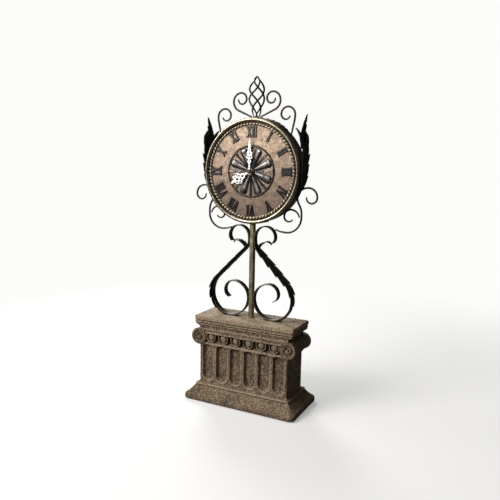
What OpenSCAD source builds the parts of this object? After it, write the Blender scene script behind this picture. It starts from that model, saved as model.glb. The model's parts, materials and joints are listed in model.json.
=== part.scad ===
// Table clock in the style of a street clock: cast pedestal, wrought-iron scrolls, round drum.
// Millimetres. +Z up, front towards -Y, origin at the middle of the footprint on the table.

/* [Pedestal] */
// Width of the plinth
plinth_w = 196; // [170:1:230]
// Depth of the plinth
plinth_d = 100; // [85:1:120]
// Height of the plinth with its bead
plinth_h = 25; // [20:1:32]
// Width of the fluted die
die_w = 157; // [140:1:165]
// Depth of the fluted die
die_d = 60; // [52:1:72]
// Height of the fluted die
die_h = 65; // [55:1:85]
// Height of the egg band and the neck over it
capital_h = 33; // [28:1:40]
// Width of the top slab
slab_w = 175; // [166:1:190]
// Depth of the top slab
slab_d = 66; // [62:1:80]
// Thickness of the top slab
slab_h = 15; // [12:1:20]
// Radius of the corner scrolls
volute_r = 13.75; // [11:0.25:16]
// Number of flutes across the front
flutes = 6; // [4:1:8]
// Thickness of the felt pads under the plinth
pad_h = 1; // [0.5:0.1:2]

/* [Post and lyre] */
// Width of the square post
post_w = 8; // [6:0.5:11]
// Length of the post between the slab and the drum
post_h = 152; // [148:1:175]
// Thickness of the flat bar in the lyre scrolls
bar_t = 2.2; // [1.6:0.1:3]
// Depth of the flat bar in the lyre scrolls
bar_d = 10; // [7:0.5:14]
// Radius of the tie bolt through the pedestal
bolt_r = 3; // [2.5:0.25:4]

/* [Wire scrolls] */
// Radius of the round wire
wire_r = 1.6; // [1.2:0.1:2]
// Height of the twisted finial
finial_h = 63; // [45:1:75]
// Widest radius of the twisted finial
finial_r = 14.5; // [10:0.5:18]
// Turn of the finial's wires from base to tip, in degrees
finial_turn = 270; // [120:5:360]

/* [Drum and dial] */
// Outer radius of the bezel
bezel_r = 81; // [75:0.5:90]
// Depth of the drum behind the bezel
drum_d = 25; // [24:0.5:36]
// Wall of the drum
drum_wall = 1.5; // [1:0.1:2.5]
// Thickness of the dial plate
dial_t = 1.2; // [0.8:0.1:2]
// Outer radius of the numerals
numeral_r = 68; // [64:0.5:68]
// Height of the numerals
numeral_h = 16.5; // [12:0.5:18]
// Outer radius of the raised ring round the rosette
ring_r = 40; // [34:0.5:44]
// Length of the minute hand from the centre
minute_l = 50; // [42:0.5:56]
// Length of the hour hand from the centre
hour_l = 39; // [30:0.5:42]
// Hour that the hands show
hour_shown = 8; // [0:1:11]

/* [Movement] */
// Width and height of the movement case
case_w = 56; // [54:1:62]
// Depth of the movement case
case_d = 17; // [16.8:0.1:19]
// Distance from the centre shaft to the setting shaft
shaft_gap = 9; // [8.5:0.25:11]
// Radius of the threaded neck
neck_r = 4; // [3.8:0.1:4.6]
// Running clearance of a shaft in its bore
run_gap = 0.07; // [0.04:0.01:0.1]

/* [Hidden] */
$fn = 64;

// Small gaps: a welded seat between curved faces, and a loose fit round a bolt
seat = 0.2;
loose = 0.3;

// Heights up the pedestal
plinth_top = pad_h + plinth_h;
die_top = plinth_top + die_h;
slab_z = die_top + capital_h;
base_h = slab_z + slab_h;
bead_h = 3;
bead_w = die_w + 11;
bead_d = die_d + 11;
fillet_h = 5.5;
band_h = 14;
egg_r = 8;
egg_pitch = 23;
flute_pitch = (die_w - 6) / flutes;
flute_w = flute_pitch - 5.7;
flute_deep = 3.2;
recess_r = 12;
recess_h = 14;

// Drum planes along Y and the dial's centre
drum_r = bezel_r - 1.5;
dial_z = base_h + post_h + drum_r + 2 * seat + 1.4;
saddle_t = 1.4;
bezel_d = 6;
dial_y = -10;
bezel_y = dial_y - 5;
drum_y = bezel_y + bezel_d - 2.5;
back_y = bezel_y + bezel_d + drum_d;
mid_y = (drum_y + back_y) / 2;
dial_r = bezel_r - 6;
case_y = dial_y + dial_t + 1;
case_back = case_y + case_d;
wall = 1.1;
rosette_t = 1.6;
nut_t = 1.6;
hand_t = 0.8;
hour_y = dial_y - rosette_t - nut_t - 0.8;
minute_y = hour_y - hand_t - 1;

// Motion works: twelve to thirty-six teeth, then ten to forty
cannon_n = 12;
wheel_n = 36;
pinion_n = 10;
hour_n = 40;
wheel_mod = 2 * shaft_gap / (cannon_n + wheel_n);
hour_mod = 2 * shaft_gap / (pinion_n + hour_n);
gear_y = case_y + wall + 0.3;
gear_t = 1;
arbor_r = 1.6;
tube_r = 2.5;
pivot_r = 0.8;
stem_r = 1;
plate_y = gear_y + 2 * gear_t + 1.2;
plate_t = 1;
knob_r = 6;

// Gauge line of the lyre and the arcs that it is bent to
neck_x = post_w / 2 + seat + bar_t / 2;
neck_z = base_h + post_h - 26;
belly_r = 34.5;
neck_arc = 22;
belly_arc = 38;

// A run is a list of moves: [radius, turn] bends the line, and [0, length] goes straight on
function step(p, h, m) = m[0] == 0
    ? [p[0] + m[1] * cos(h), p[1] + m[1] * sin(h)]
    : [p[0] + m[0] * sign(m[1]) * (sin(h + m[1]) - sin(h)),
       p[1] - m[0] * sign(m[1]) * (cos(h + m[1]) - cos(h))];
function cuts(m) = m[0] == 0 ? 1 : max(2, ceil(abs(m[1]) / (m[0] > 45 ? 4 : 15)));
function part_move(m, f) = [m[0], m[1] * f];
// Every point of a run as [x, z, heading]
function run(p, h, moves, k = 0) = k == len(moves)
    ? [[p[0], p[1], h]]
    : let (m = moves[k], n = cuts(m), turn = m[0] == 0 ? 0 : m[1])
      concat([for (i = [0 : n - 1])
                  let (q = step(p, h, part_move(m, i / n))) [q[0], q[1], h + turn * i / n]],
             run(step(p, h, m), h + turn, moves, k + 1));
function side(q, off) = [q[0] - off * sin(q[2]), q[1] + off * cos(q[2])];
function band(pts, off_a, off_b) = concat([for (q = pts) side(q, off_a)],
    [for (k = [len(pts) - 1 : -1 : 0]) side(pts[k], off_b)]);
function flip_ends(pts) = [for (k = [len(pts) - 1 : -1 : 1]) [pts[k][0], pts[k][1], pts[k][2] + 180]];

// Stands a flat outline up to face the front, from y_back forward by t
module upright(y_back, t) translate([0, y_back, 0]) rotate([90, 0, 0]) linear_extrude(t) children();
module ring_y(y_front, t, r_out, r_in) translate([0, y_front + t, dial_z]) rotate([90, 0, 0])
    difference() {
        cylinder(r = r_out, h = t, $fn = 180);
        translate([0, 0, -1]) cylinder(r = r_in, h = t + 2, $fn = 180);
    }
// A solid turned about the dial's centre line: x is the radius and y is the depth towards the back
module turned() translate([0, 0, dial_z]) rotate([-90, 0, 0]) rotate_extrude($fn = 180) children();
// The same over an arc, whose middle is at the top of the drum or, with up = -1, at the bottom
module turned_arc(arc, up) translate([0, 0, dial_z]) rotate([-90, 0, 0]) rotate([0, 0, -90 * up - arc / 2])
    rotate_extrude(angle = arc, $fn = 180) children();
module rod_y(y_front, t, r) translate([0, y_front + t, 0]) rotate([90, 0, 0]) cylinder(r = r, h = t);
module left_of() mirror([1, 0, 0]) children();
module box(w, d, h, z) translate([-w / 2, -d / 2, z]) cube([w, d, h]);

// A round wire swept along [x, y, z, heading] rings that lie in an upright plane
wire_sides = 8;
function wire_ring(q, y, r) = [for (a = [0 : wire_sides - 1])
    let (s = side(q, r * cos(360 * a / wire_sides))) [s[0], y + r * sin(360 * a / wire_sides), s[1]]];
function tube_faces(n, s) = concat([[for (a = [s - 1 : -1 : 0]) a]],
    [[for (a = [0 : s - 1]) (n - 1) * s + a]],
    [for (k = [0 : n - 2], a = [0 : s - 1]) let (b = (a + 1) % s)
        [k * s + a, k * s + b, (k + 1) * s + b, (k + 1) * s + a]]);
module wire(pts, y) {
    rings = [for (q = pts) wire_ring(q, y, wire_r)];
    polyhedron([for (ring = rings) each ring], tube_faces(len(pts), wire_sides), convexity = 8);
}

// Pedestal --------------------------------------------------------------------------------
module flute_cuts() for (s = [-1, 1], k = [0 : flutes - 1])
    translate([(k - (flutes - 1) / 2) * flute_pitch, s * die_d / 2, plinth_top + 4]) flute(s);
flute_cut_r = (flute_w * flute_w / 4 + flute_deep * flute_deep) / (2 * flute_deep);
module flute(s) translate([0, s * (flute_cut_r - flute_deep), 0])
    cylinder(r = flute_cut_r, h = die_h - 9);
module volutes() for (s = [-1, 1]) translate([s * die_w / 2, 0, die_top + volute_r])
    rotate([90, 0, 0]) cylinder(r = volute_r, h = slab_d + 2, center = true);
module eggs() for (s = [-1, 1], k = [0 : flutes - 1])
    translate([(k - (flutes - 1) / 2) * egg_pitch, s * (die_d / 2 - 2), die_top + fillet_h + band_h / 2])
        sphere(r = egg_r);
module plinth() {
    box(plinth_w, plinth_d, 9, pad_h);
    hull() {
        box(plinth_w - 3, plinth_d - 3, 1, pad_h + 9);
        box(bead_w + 2, bead_d + 2, 1, plinth_top - bead_h - 1);
    }
    box(bead_w, bead_d, bead_h, plinth_top - bead_h);
}
module slab() {
    box(slab_w - 5, slab_d - 5, slab_h, slab_z);
    for (z = [slab_z, slab_z + slab_h * 0.36, slab_z + slab_h * 0.72])
        box(slab_w, slab_d, slab_h * 0.28, z);
}
module pedestal() color("tan") difference() {
    union() {
        plinth();
        difference() {
            box(die_w, die_d, die_h, plinth_top);
            flute_cuts();
        }
        box(die_w + 4, die_d + 4, fillet_h, die_top);
        box(die_w, die_d, band_h, die_top + fillet_h);
        eggs();
        volutes();
        box(die_w + 2, die_d, capital_h - fillet_h - band_h, die_top + fillet_h + band_h);
        slab();
    }
    cylinder(r = bolt_r + loose, h = 3 * base_h, center = true);
    translate([0, 0, -1]) cylinder(r = recess_r, h = pad_h + recess_h + 1);
}
module foot_pads() color("dimgray") for (x = [-1, 1], y = [-1, 1])
    translate([x * (plinth_w / 2 - 14), y * (plinth_d / 2 - 14), 0]) cylinder(r = 9, h = pad_h);
washer_t = 1.5;
head_h = 4;
bolt_bite = 12;
module tie_washer() color("silver") translate([0, 0, pad_h + recess_h - washer_t]) difference() {
    cylinder(r = recess_r - 2, h = washer_t);
    translate([0, 0, -1]) cylinder(r = bolt_r + loose, h = washer_t + 2);
}
head_z = pad_h + recess_h - washer_t - head_h;
module tie_bolt() color("silver") translate([0, 0, head_z]) {
    cylinder(r = bolt_r * 1.9, h = head_h, $fn = 6);
    cylinder(r = bolt_r, h = base_h - head_z + bolt_bite);
}

// Post and lyre ---------------------------------------------------------------------------
module post() color("darkkhaki") difference() {
    box(post_w, post_w, post_h, base_h);
    translate([0, 0, base_h - 1]) cylinder(r = bolt_r + run_gap, h = bolt_bite + 3);
}
saddle_arc = 34;
saddle_d = 14;
module post_saddle() color("darkkhaki") difference() {
    turned_arc(saddle_arc, -1) translate([drum_r + seat, mid_y - saddle_d / 2]) square([saddle_t, saddle_d]);
    rivet_holes(0.8 + run_gap);
}
rivet_x = 12;
module rivet_at(s) translate([0, mid_y, dial_z]) rotate([0, s * asin(rivet_x / drum_r), 0]) children();
module rivet_holes(r) for (s = [-1, 1]) rivet_at(s) translate([0, 0, -drum_r - 3]) cylinder(r = r, h = 8);
module saddle_rivets() color("gray") for (s = [-1, 1]) rivet_at(s) {
    translate([0, 0, -drum_r - seat - saddle_t]) cylinder(r = 0.8, h = seat + saddle_t + drum_wall + 0.1);
    translate([0, 0, -drum_r + drum_wall + 0.1]) cylinder(r = 1.8, h = 0.9);
}
// Straight stretch of the lyre between the neck's bend and the belly's bend, at 45 degrees
foot_z = base_h + seat + bar_t / 2;
belly_z = foot_z + belly_r;
slope_h = neck_z - neck_arc * sin(45) - belly_z - belly_arc * sin(45);
belly_x = neck_x + (neck_arc + belly_arc) * (1 - cos(45)) + slope_h;
foot_r = belly_x - belly_r - neck_x;
lyre_down = [[neck_arc, 45], [0, slope_h / sin(45)], [belly_arc, -45], [belly_r, -90], [foot_r, -90],
    [26, -90], [16, -90], [12, -70]];
lyre_up = [[0, 5], [18, -90], [16.5, -90], [11, -55]];
neck = [neck_x, neck_z];
lyre_pts = concat(flip_ends(run(neck, 90, lyre_up)), run(neck, -90, lyre_down));
module lyre_scroll() color("black") upright(bar_d / 2, bar_d) polygon(band(lyre_pts, bar_t / 2, -bar_t / 2));
module lyre_scroll_right() lyre_scroll();
module lyre_scroll_left() left_of() lyre_scroll();
// A leaf lies on the outside of the sloping bar, with notched edges
leaf_t = 1.4;
leaf_d = 19;
leaf_turn = 20;
leaf_pts = run(step(neck, -90, [neck_arc, 15]), -75, [[neck_arc, 30], [0, slope_h / sin(45)], [belly_arc, -leaf_turn]]);
leaf_off = bar_t / 2 + seat;
notches = 7;
module lyre_leaf() color("black") difference() {
    upright(leaf_d / 2, leaf_d) polygon(band(leaf_pts, leaf_off, leaf_off + leaf_t));
    for (k = [1 : notches], s = [-1, 1])
        let (q = leaf_pts[3], f = slope_h / sin(45) * (k - 0.5) / notches)
            translate([q[0] + f * cos(45), s * (leaf_d / 2 + 0.6), q[1] - f * sin(45)])
                rotate([0, 45, 0]) cylinder(r = 2.2, h = 12, center = true);
}
module lyre_leaf_right() lyre_leaf();
module lyre_leaf_left() left_of() lyre_leaf();

// Leaves and scrolls on the drum ------------------------------------------------------------
side_leaf_t = 2;
side_leaf_x = drum_r + seat + side_leaf_t / 2;
side_leaf_pts = run([side_leaf_x, dial_z], 90, [[0, 14], [60, -6], [70, 22], [40, -28], [0, 12], [30, -12]]);
side_leaf_low = run([side_leaf_x, dial_z], -90, [[side_leaf_x, -13]]);
module side_leaf() color("black") intersection() {
    upright(mid_y + 20, 40)
        polygon(band(concat(flip_ends(side_leaf_low), side_leaf_pts), side_leaf_t / 2, -side_leaf_t / 2));
    translate([drum_r - 20, mid_y, dial_z]) rotate([90, 0, 90]) linear_extrude(60) side_leaf_outline();
}
// The leaf seen from the side: a tall middle lobe with a lower lobe on each hand
module side_leaf_outline() {
    edge = [[8, -16], [10, -3], [10, 16], [12, 26], [15, 40], [13, 55], [6.5, 46], [2, 62]];
    polygon(concat([[0, -26]], edge, [[0, 90]], [for (k = [len(edge) - 1 : -1 : 0]) [-edge[k][0], edge[k][1]]]));
}
module side_leaf_right() side_leaf();
module side_leaf_left() left_of() side_leaf();

touch_a = 23.5;
touch_r = drum_r + wire_r + seat;
touch = [touch_r * cos(touch_a), dial_z - touch_r * sin(touch_a)];
touch_h = -90 - touch_a;
side_bend = 16;
side_down = [[side_bend, -60 - touch_h], [0, 3], [27, -30], [0, 5], [24, -90], [50, -22]];
side_up = [[side_bend, touch_a - 90], [0, 1.5], [14, -90], [9, -90], [8, -100]];
side_pts = concat(flip_ends(run(touch, 90 - touch_a, side_up)), run(touch, touch_h, side_down));
module side_scroll_right() color("black") wire(side_pts, mid_y);
module side_scroll_left() left_of() color("black") wire(side_pts, mid_y);
waist = step(step(step(touch, touch_h, side_down[0]), -60, side_down[1]), -60, side_down[2]);
curl_start = [waist[0] - 2 * wire_r - seat, waist[1] - 5];
module side_curl() color("black") wire(run(curl_start, 100, [[14, 80], [11, 90], [7.5, 150]]), mid_y);
module side_curl_right() side_curl();
module side_curl_left() left_of() side_curl();

// Strap over the top of the drum, with pointed ends
strap_t = 1.6;
strap_arc = 74;
strap_d = 20;
finial_y = mid_y + 3;
strap_r = drum_r + seat + strap_t;
module top_strap() color("black") intersection() {
    turned_arc(strap_arc, 1) translate([drum_r + seat, finial_y - strap_d / 2]) square([strap_t, strap_d]);
    translate([0, finial_y, dial_z]) linear_extrude(strap_r + 5) strap_outline();
}
strap_x = strap_r * sin(strap_arc / 2);
module strap_outline() polygon([[-strap_x - 1, 0], [-strap_x * 0.7, 7], [-strap_x * 0.45, 4], [-12, 10], [12, 10],
    [strap_x * 0.45, 4], [strap_x * 0.7, 7], [strap_x + 1, 0], [strap_x * 0.7, -7], [strap_x * 0.45, -4],
    [12, -10], [-12, -10], [-strap_x * 0.7 + 16, -4], [-strap_x * 0.7, -7]]);

// Twisted basket of four wires between a collar and a pointed tip
basket_wires = 4;
basket_rings = 18;
collar_r = 6.4;
collar_h = 2.4;
tip_h = 7;
joint = 0.05;
finial_z = dial_z + strap_r + seat;
basket_z = finial_z + collar_h + joint;
basket_h = finial_h - collar_h - tip_h - 2 * joint;
low_r = 4.6;
high_r = 2.4;
// The basket is widest above its middle, as a flame is
flame = 1.3;
function basket_radius(t) = low_r * (1 - t) + high_r * t + (finial_r - wire_r - high_r) * sin(180 * pow(t, flame));
function basket_at(t, a0) = let (a = a0 - finial_turn * t, r = basket_radius(t))
    [r * cos(a), finial_y + r * sin(a), basket_z + t * basket_h];
module finial_wire(number) {
    start = 45 + 360 * number / basket_wires;
    rings = [for (k = [0 : basket_rings - 1]) let (c = basket_at(k / (basket_rings - 1), start))
        [for (a = [0 : wire_sides - 1]) c + wire_r * [cos(360 * a / wire_sides), sin(360 * a / wire_sides), 0]]];
    color("black") polyhedron([for (ring = rings) each ring], tube_faces(basket_rings, wire_sides), convexity = 8);
}
module finial_wire_1() finial_wire(1);
module finial_wire_2() finial_wire(2);
module finial_wire_3() finial_wire(3);
module finial_wire_4() finial_wire(4);
module finial_collar() color("black") translate([0, finial_y, finial_z]) cylinder(r = collar_r, h = collar_h);
module finial_tip() color("black") translate([0, finial_y, basket_z + basket_h + joint])
    cylinder(r1 = high_r + wire_r, r2 = 0.8, h = tip_h);
stem_lean = 24;
stem_start = [collar_r + seat + wire_r * sin(stem_lean), finial_z + wire_r];
top_moves = [[0, 26], [15, 90 - stem_lean], [13, 90], [9.5, 90], [7.5, 90], [6.5, 100]];
module top_curl() color("black") wire(run(stem_start, stem_lean, top_moves), finial_y);
module top_curl_right() top_curl();
module top_curl_left() left_of() top_curl();
shoulder_a = 48;
shoulder_lean = 36;
shoulder_r = drum_r + seat + wire_r * sin(shoulder_lean);
shoulder = [shoulder_r * sin(shoulder_a), dial_z + shoulder_r * cos(shoulder_a)];
shoulder_moves = [[0, 23], [40, 12], [12, 90], [10.5, 90], [8, 90], [6.5, 80]];
module shoulder_curl() color("black") wire(run(shoulder, 90 - shoulder_a + shoulder_lean, shoulder_moves), mid_y);
module shoulder_curl_right() shoulder_curl();
module shoulder_curl_left() left_of() shoulder_curl();

// Drum -----------------------------------------------------------------------------------
ledge_w = 4;
ledge_t = 1.2;
module drum_shell() color("saddlebrown") difference() {
    union() {
        ring_y(drum_y, back_y - drum_y, drum_r, drum_r - drum_wall);
        ring_y(dial_y + dial_t, ledge_t, drum_r - drum_wall / 2, drum_r - drum_wall - ledge_w);
        ring_y(back_y - ledge_t, ledge_t, drum_r - drum_wall / 2, drum_r - drum_wall - 2 * ledge_w);
    }
    rivet_holes(0.8 + run_gap);
    back_holes(1);
}
// Half-round bezel with a skirt over the front edge of the drum
bezel_w = bezel_r - dial_r;
module bezel() color("goldenrod") turned() difference() {
    union() {
        translate([dial_r + bezel_w / 2, bezel_y + bezel_w / 2]) circle(r = bezel_w / 2);
        translate([dial_r, bezel_y + bezel_w / 2]) square([bezel_w, bezel_d - bezel_w / 2]);
    }
    translate([0, drum_y - 0.1]) square([drum_r + run_gap, bezel_d]);
    translate([0, bezel_y + bezel_d]) square([bezel_r + 1, bezel_d]);
}
rope_r = 2.4;
module rope_ring() color("dimgray") turned() intersection() {
    translate([dial_r - rope_r - 1, dial_y]) circle(r = rope_r);
    translate([0, dial_y - rope_r]) square([dial_r - 0.5, rope_r]);
}
module dial_plate() color("rosybrown") difference() {
    ring_y(dial_y, dial_t, dial_r, neck_r + loose);
}

// Numerals built up from straight strokes, each with its own width
stroke_w = 2.4;
letter_i = 4.2;
letter_v = 9.4;
function letter_w(c) = c == "I" ? letter_i : letter_v;
function word_w(s, k = 0) = k == len(s) ? 0 : letter_w(s[k]) + word_w(s, k + 1);
function start_x(s, n, k = 0) = k == n ? -word_w(s) / 2 : letter_w(s[k]) + start_x(s, n, k + 1);
module slant(x_low, x_high, w) polygon([[x_low - w / 2, 0], [x_low + w / 2, 0],
    [x_high + w / 2, numeral_h], [x_high - w / 2, numeral_h]]);
module serif(x, y, w) translate([x - w / 2, y]) square([w, 1.1]);
module letter(c) {
    reach = letter_v / 2 - 1.8;
    mid = letter_w(c) / 2;
    if (c == "I") slant(mid, mid, stroke_w);
    if (c == "V") slant(mid, mid - reach, stroke_w);
    if (c == "V") slant(mid, mid + reach, stroke_w * 0.6);
    if (c == "X") slant(mid + reach, mid - reach, stroke_w);
    if (c == "X") slant(mid - reach, mid + reach, stroke_w * 0.6);
    serif(mid, numeral_h - 1.1, letter_w(c) - 0.3);
    if (c != "V") serif(mid, 0, letter_w(c) - 0.3);
}
module numeral(s) for (k = [0 : len(s) - 1]) translate([start_x(s, k), 0]) letter(s[k]);
hours = ["I", "II", "III", "IV", "V", "VI", "VII", "VIII", "IX", "X", "XI", "XII"];
module numerals() color("slategray") translate([0, dial_y, dial_z]) rotate([90, 0, 0])
    linear_extrude(1.4) for (k = [1 : 12])
        rotate(-30 * k) translate([0, numeral_r - numeral_h]) numeral(hours[k - 1]);
module inner_ring() color("dimgray") turned() intersection() {
    translate([ring_r - 1.3, dial_y]) circle(r = 1.3);
    translate([0, dial_y - 1.3]) square([ring_r + 1, 1.3]);
}

// Rosette: eight spoon petals with eight narrow ribs between them
petals = 8;
module petal(l, w) {
    translate([0, l - w / 2]) circle(r = w / 2);
    polygon([[-1.4, 6], [1.4, 6], [w / 2, l - w / 2], [-w / 2, l - w / 2]]);
}
module rosette() color("slategray") translate([0, dial_y, dial_z]) rotate([90, 0, 0]) linear_extrude(rosette_t)
    difference() {
        union() {
            circle(r = 8);
            for (k = [0 : petals - 1]) rotate(360 * (k + 0.5) / petals) petal(ring_r - 3.5, 9);
            for (k = [0 : petals - 1]) rotate(360 * k / petals) translate([-1.6, 0]) square([3.2, ring_r - 3.5]);
        }
        circle(r = neck_r + loose);
    }
plate_r = drum_r - drum_wall - 0.3;
plate_hole = 42;
module back_holes(r) for (a = [45 : 90 : 315]) translate([0, 0, dial_z]) rotate([0, a, 0])
    translate([0, back_y - 6, plate_r - 4]) rotate([-90, 0, 0]) cylinder(r = r, h = 12);
back_t = 1.2;
module back_plate() color("dimgray") difference() {
    ring_y(back_y, back_t, plate_r, plate_hole);
    back_holes(1 + loose);
}
module back_screws() color("silver") for (a = [45 : 90 : 315]) translate([0, 0, dial_z]) rotate([0, a, 0])
    translate([0, back_y, plate_r - 4]) rotate([-90, 0, 0]) {
        translate([0, 0, -4]) cylinder(r = 1 - run_gap, h = 4 + back_t);
        translate([0, 0, back_t]) cylinder(r = 2.2, h = 1.1);
    }

// Movement -------------------------------------------------------------------------------
neck_front = dial_y - rosette_t - nut_t - 0.3;
module at_shaft() translate([0, 0, dial_z - shaft_gap]) children();
module at_centre() translate([0, 0, dial_z]) children();
module case_box(y, d, w) translate([-w / 2, y, dial_z - w / 2]) cube([w, d, w]);
module movement_case() color("#222222") difference() {
    union() {
        difference() {
            case_box(case_y, case_d - wall - 0.1, case_w);
            case_box(case_y + wall, case_d, case_w - 2 * wall);
        }
        at_centre() rod_y(neck_front, case_y - neck_front + 0.5, neck_r);
    }
    at_centre() rod_y(neck_front - 1, case_y - neck_front + wall + 2, tube_r + run_gap);
    at_shaft() rod_y(case_y + wall - 0.8, 3, pivot_r + run_gap);
}
battery_l = 49;
battery_r = 7.2;
battery_z = dial_z + case_w / 2 - wall - 0.3 - battery_r;
battery_y = case_back - wall - 0.15 - battery_r;
module movement_cover() color("#333333") difference() {
    case_box(case_back - wall, wall, case_w);
    at_shaft() rod_y(case_back - wall - 1, wall + 2, stem_r + run_gap);
}
module train_plate() color("gold") difference() {
    union() {
        translate([-12, plate_y, dial_z - shaft_gap - 8]) cube([24, plate_t, shaft_gap + 16]);
        for (x = [-10, 10], z = [-shaft_gap - 6, 6]) translate([x, 0, dial_z + z])
            rod_y(case_y + wall, plate_y - case_y - wall + 0.2, 1.4);
    }
    at_centre() rod_y(plate_y - 1, plate_t + 2, pivot_r + run_gap);
    at_shaft() rod_y(plate_y - 1, plate_t + 2, stem_r + run_gap);
}
board_y = plate_y + plate_t + 1.5;
module circuit_board() color("darkgreen") difference() {
    translate([-case_w / 2 + wall + 0.2, board_y, dial_z - case_w / 2 + wall + 0.2]) cube([25, 1, 26]);
    at_shaft() rod_y(board_y - 1, 3, 3);
}
coil_x = 16;
coil_z = dial_z - 10;
module coil() color("orangered") {
    translate([coil_x, case_y + wall + 5, coil_z]) cylinder(r = 2.6, h = 16, center = true);
    for (s = [-1, 1]) translate([coil_x, case_y + wall + 5, coil_z + s * 8.8])
        cylinder(r = 3.8, h = 1.6, center = true);
    translate([coil_x, case_y + wall + 1, coil_z]) cube([4, 2, 19.2], center = true);
}
module battery() color("silver") translate([-battery_l / 2, battery_y, battery_z]) rotate([0, 90, 0]) {
    cylinder(r = battery_r, h = battery_l);
    cylinder(r = 2.6, h = battery_l + 1);
}
contact_t = 0.5;
module battery_contacts() color("silver") {
    for (x = [-battery_l / 2 - contact_t - 0.1, battery_l / 2 + 1.1])
        translate([x, battery_y - 4, battery_z - 4]) cube([contact_t, 8, 8]);
}
module dial_washer() color("black") ring_y(dial_y + dial_t + 0.05, 0.9, 11, neck_r + loose);
module fixing_nut() color("goldenrod") translate([0, dial_y - rosette_t, dial_z]) rotate([90, 0, 0]) difference() {
    cylinder(r = 7, h = nut_t, $fn = 6);
    translate([0, 0, -1]) cylinder(r = neck_r + run_gap, h = nut_t + 2);
}

// Teeth follow an involute up to the tip, thinned so that the pair runs free
pressure = 20;
function inv(a) = tan(a) * 180 / PI - a;
function flank(r, rp, half) = let (rb = rp * cos(pressure), rr = max(r, rb))
    half + inv(pressure) - inv(acos(rb / rr));
module gear_shape(n, m, phase, tall) {
    rp = m * n / 2;
    half = 90 / n - 0.13 * 180 / PI / rp;
    radii = [rp - 1.3 * m, rp - 0.4 * m, rp, rp + 0.45 * tall * m, rp + tall * m];
    polygon([for (k = [0 : n - 1], s = [-1, 1], i = [0 : len(radii) - 1])
        let (r = radii[s < 0 ? i : len(radii) - 1 - i], a = phase + 360 * k / n + s * flank(r, rp, half))
            r * [cos(a), sin(a)]]);
}
module gear(y, n, m, phase, tall) translate([0, y + gear_t, 0]) rotate([90, 0, 0])
    linear_extrude(gear_t) gear_shape(n, m, phase, tall);
cannon_y = gear_y + gear_t + 0.4;
module minute_arbor() color("gold") at_centre() {
    rod_y(minute_y - hand_t - 2.2, cannon_y + gear_t - minute_y + hand_t + 2.2, arbor_r);
    gear(cannon_y, cannon_n, wheel_mod, -90, 0.8);
    rod_y(cannon_y + gear_t - 0.1, plate_y + plate_t - cannon_y - gear_t + 0.1, pivot_r);
}
module hour_wheel() color("white") at_centre() difference() {
    union() {
        gear(gear_y, hour_n, hour_mod, -90 + 180 / hour_n, 0.8);
        rod_y(hour_y - hand_t - 0.3, gear_y + gear_t - hour_y + hand_t + 0.3, tube_r);
    }
    rod_y(hour_y - 5, 40, arbor_r + run_gap);
}
module minute_wheel() color("white") at_shaft() {
    gear(gear_y, pinion_n, hour_mod, 90, 0.8);
    rod_y(gear_y + gear_t - 0.1, 0.7, pinion_n * hour_mod / 2 - 0.5);
    gear(cannon_y, wheel_n, wheel_mod, 90 + 180 / wheel_n, 0.8);
    rod_y(case_y + wall - 0.7, 2, pivot_r);
    rod_y(cannon_y + gear_t - 0.1, case_back + 2.5 - cannon_y - gear_t, stem_r);
}
knob_y = case_back + 0.5;
knob_h = 4;
module setting_knob() color("#333333") at_shaft() difference() {
    rod_y(knob_y, knob_h, knob_r);
    for (a = [0 : 30 : 330]) rotate([0, a, 0]) translate([0, 0, knob_r + 0.2]) rod_y(knob_y - 1, knob_h + 2, 0.8);
    rod_y(knob_y - 1, knob_h - 1.1, stem_r + run_gap);
}

// Hands: pierced outlines, drawn pointing up
module boss(r, bore) difference() {
    circle(r = r);
    circle(r = bore);
}
module minute_shape() {
    boss(4.2, arbor_r + run_gap);
    difference() {
        union() {
            polygon([[-1.2, 3.8], [1.2, 3.8], [1.4, 9], [-1.4, 9]]);
            translate([0, 12]) circle(r = 3.4);
            polygon([[-2, 15], [2, 15], [4.2, 20], [3.6, 25], [1.6, 30], [1.2, 36], [0.3, minute_l],
                [-0.3, minute_l], [-1.2, 36], [-1.6, 30], [-3.6, 25], [-4.2, 20]]);
        }
        translate([0, 12]) circle(r = 1.6);
        translate([-1.9, 20.5]) circle(r = 1.2);
        translate([1.9, 20.5]) circle(r = 1.2);
        translate([0, 25]) circle(r = 1.1);
    }
}
module hour_shape() {
    boss(5, tube_r + run_gap);
    difference() {
        union() {
            polygon([[-1.6, 4.6], [1.6, 4.6], [2.6, 10], [-2.6, 10]]);
            polygon([[-2.6, 9.5], [2.6, 9.5], [7, 13], [8.2, 19], [5.4, 25], [2, 28], [0.4, hour_l],
                [-0.4, hour_l], [-2, 28], [-5.4, 25], [-8.2, 19], [-7, 13]]);
        }
        for (p = [[0, 12.8], [-3.6, 15], [3.6, 15], [0, 17.6], [-5, 19.6], [5, 19.6], [-2.2, 22.4], [2.2, 22.4]])
            translate(p) circle(r = 1.45);
    }
}
module hand(y, angle) translate([0, y, dial_z]) rotate([90, 0, 0]) linear_extrude(hand_t)
    rotate(-angle) children();
module minute_hand() color("white") hand(minute_y, 0) minute_shape();
module hour_hand() color("white") hand(hour_y, 30 * hour_shown) hour_shape();
module cap_nut() color("saddlebrown") at_centre() difference() {
    translate([0, minute_y - hand_t - 0.05, 0]) rotate([90, 0, 0]) {
        cylinder(r = 3.4, h = 1.8);
        translate([0, 0, 1.8]) cylinder(r = 2.4, h = 1.2);
    }
    rod_y(minute_y - hand_t - 2.3, 4, arbor_r + run_gap);
}

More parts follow.
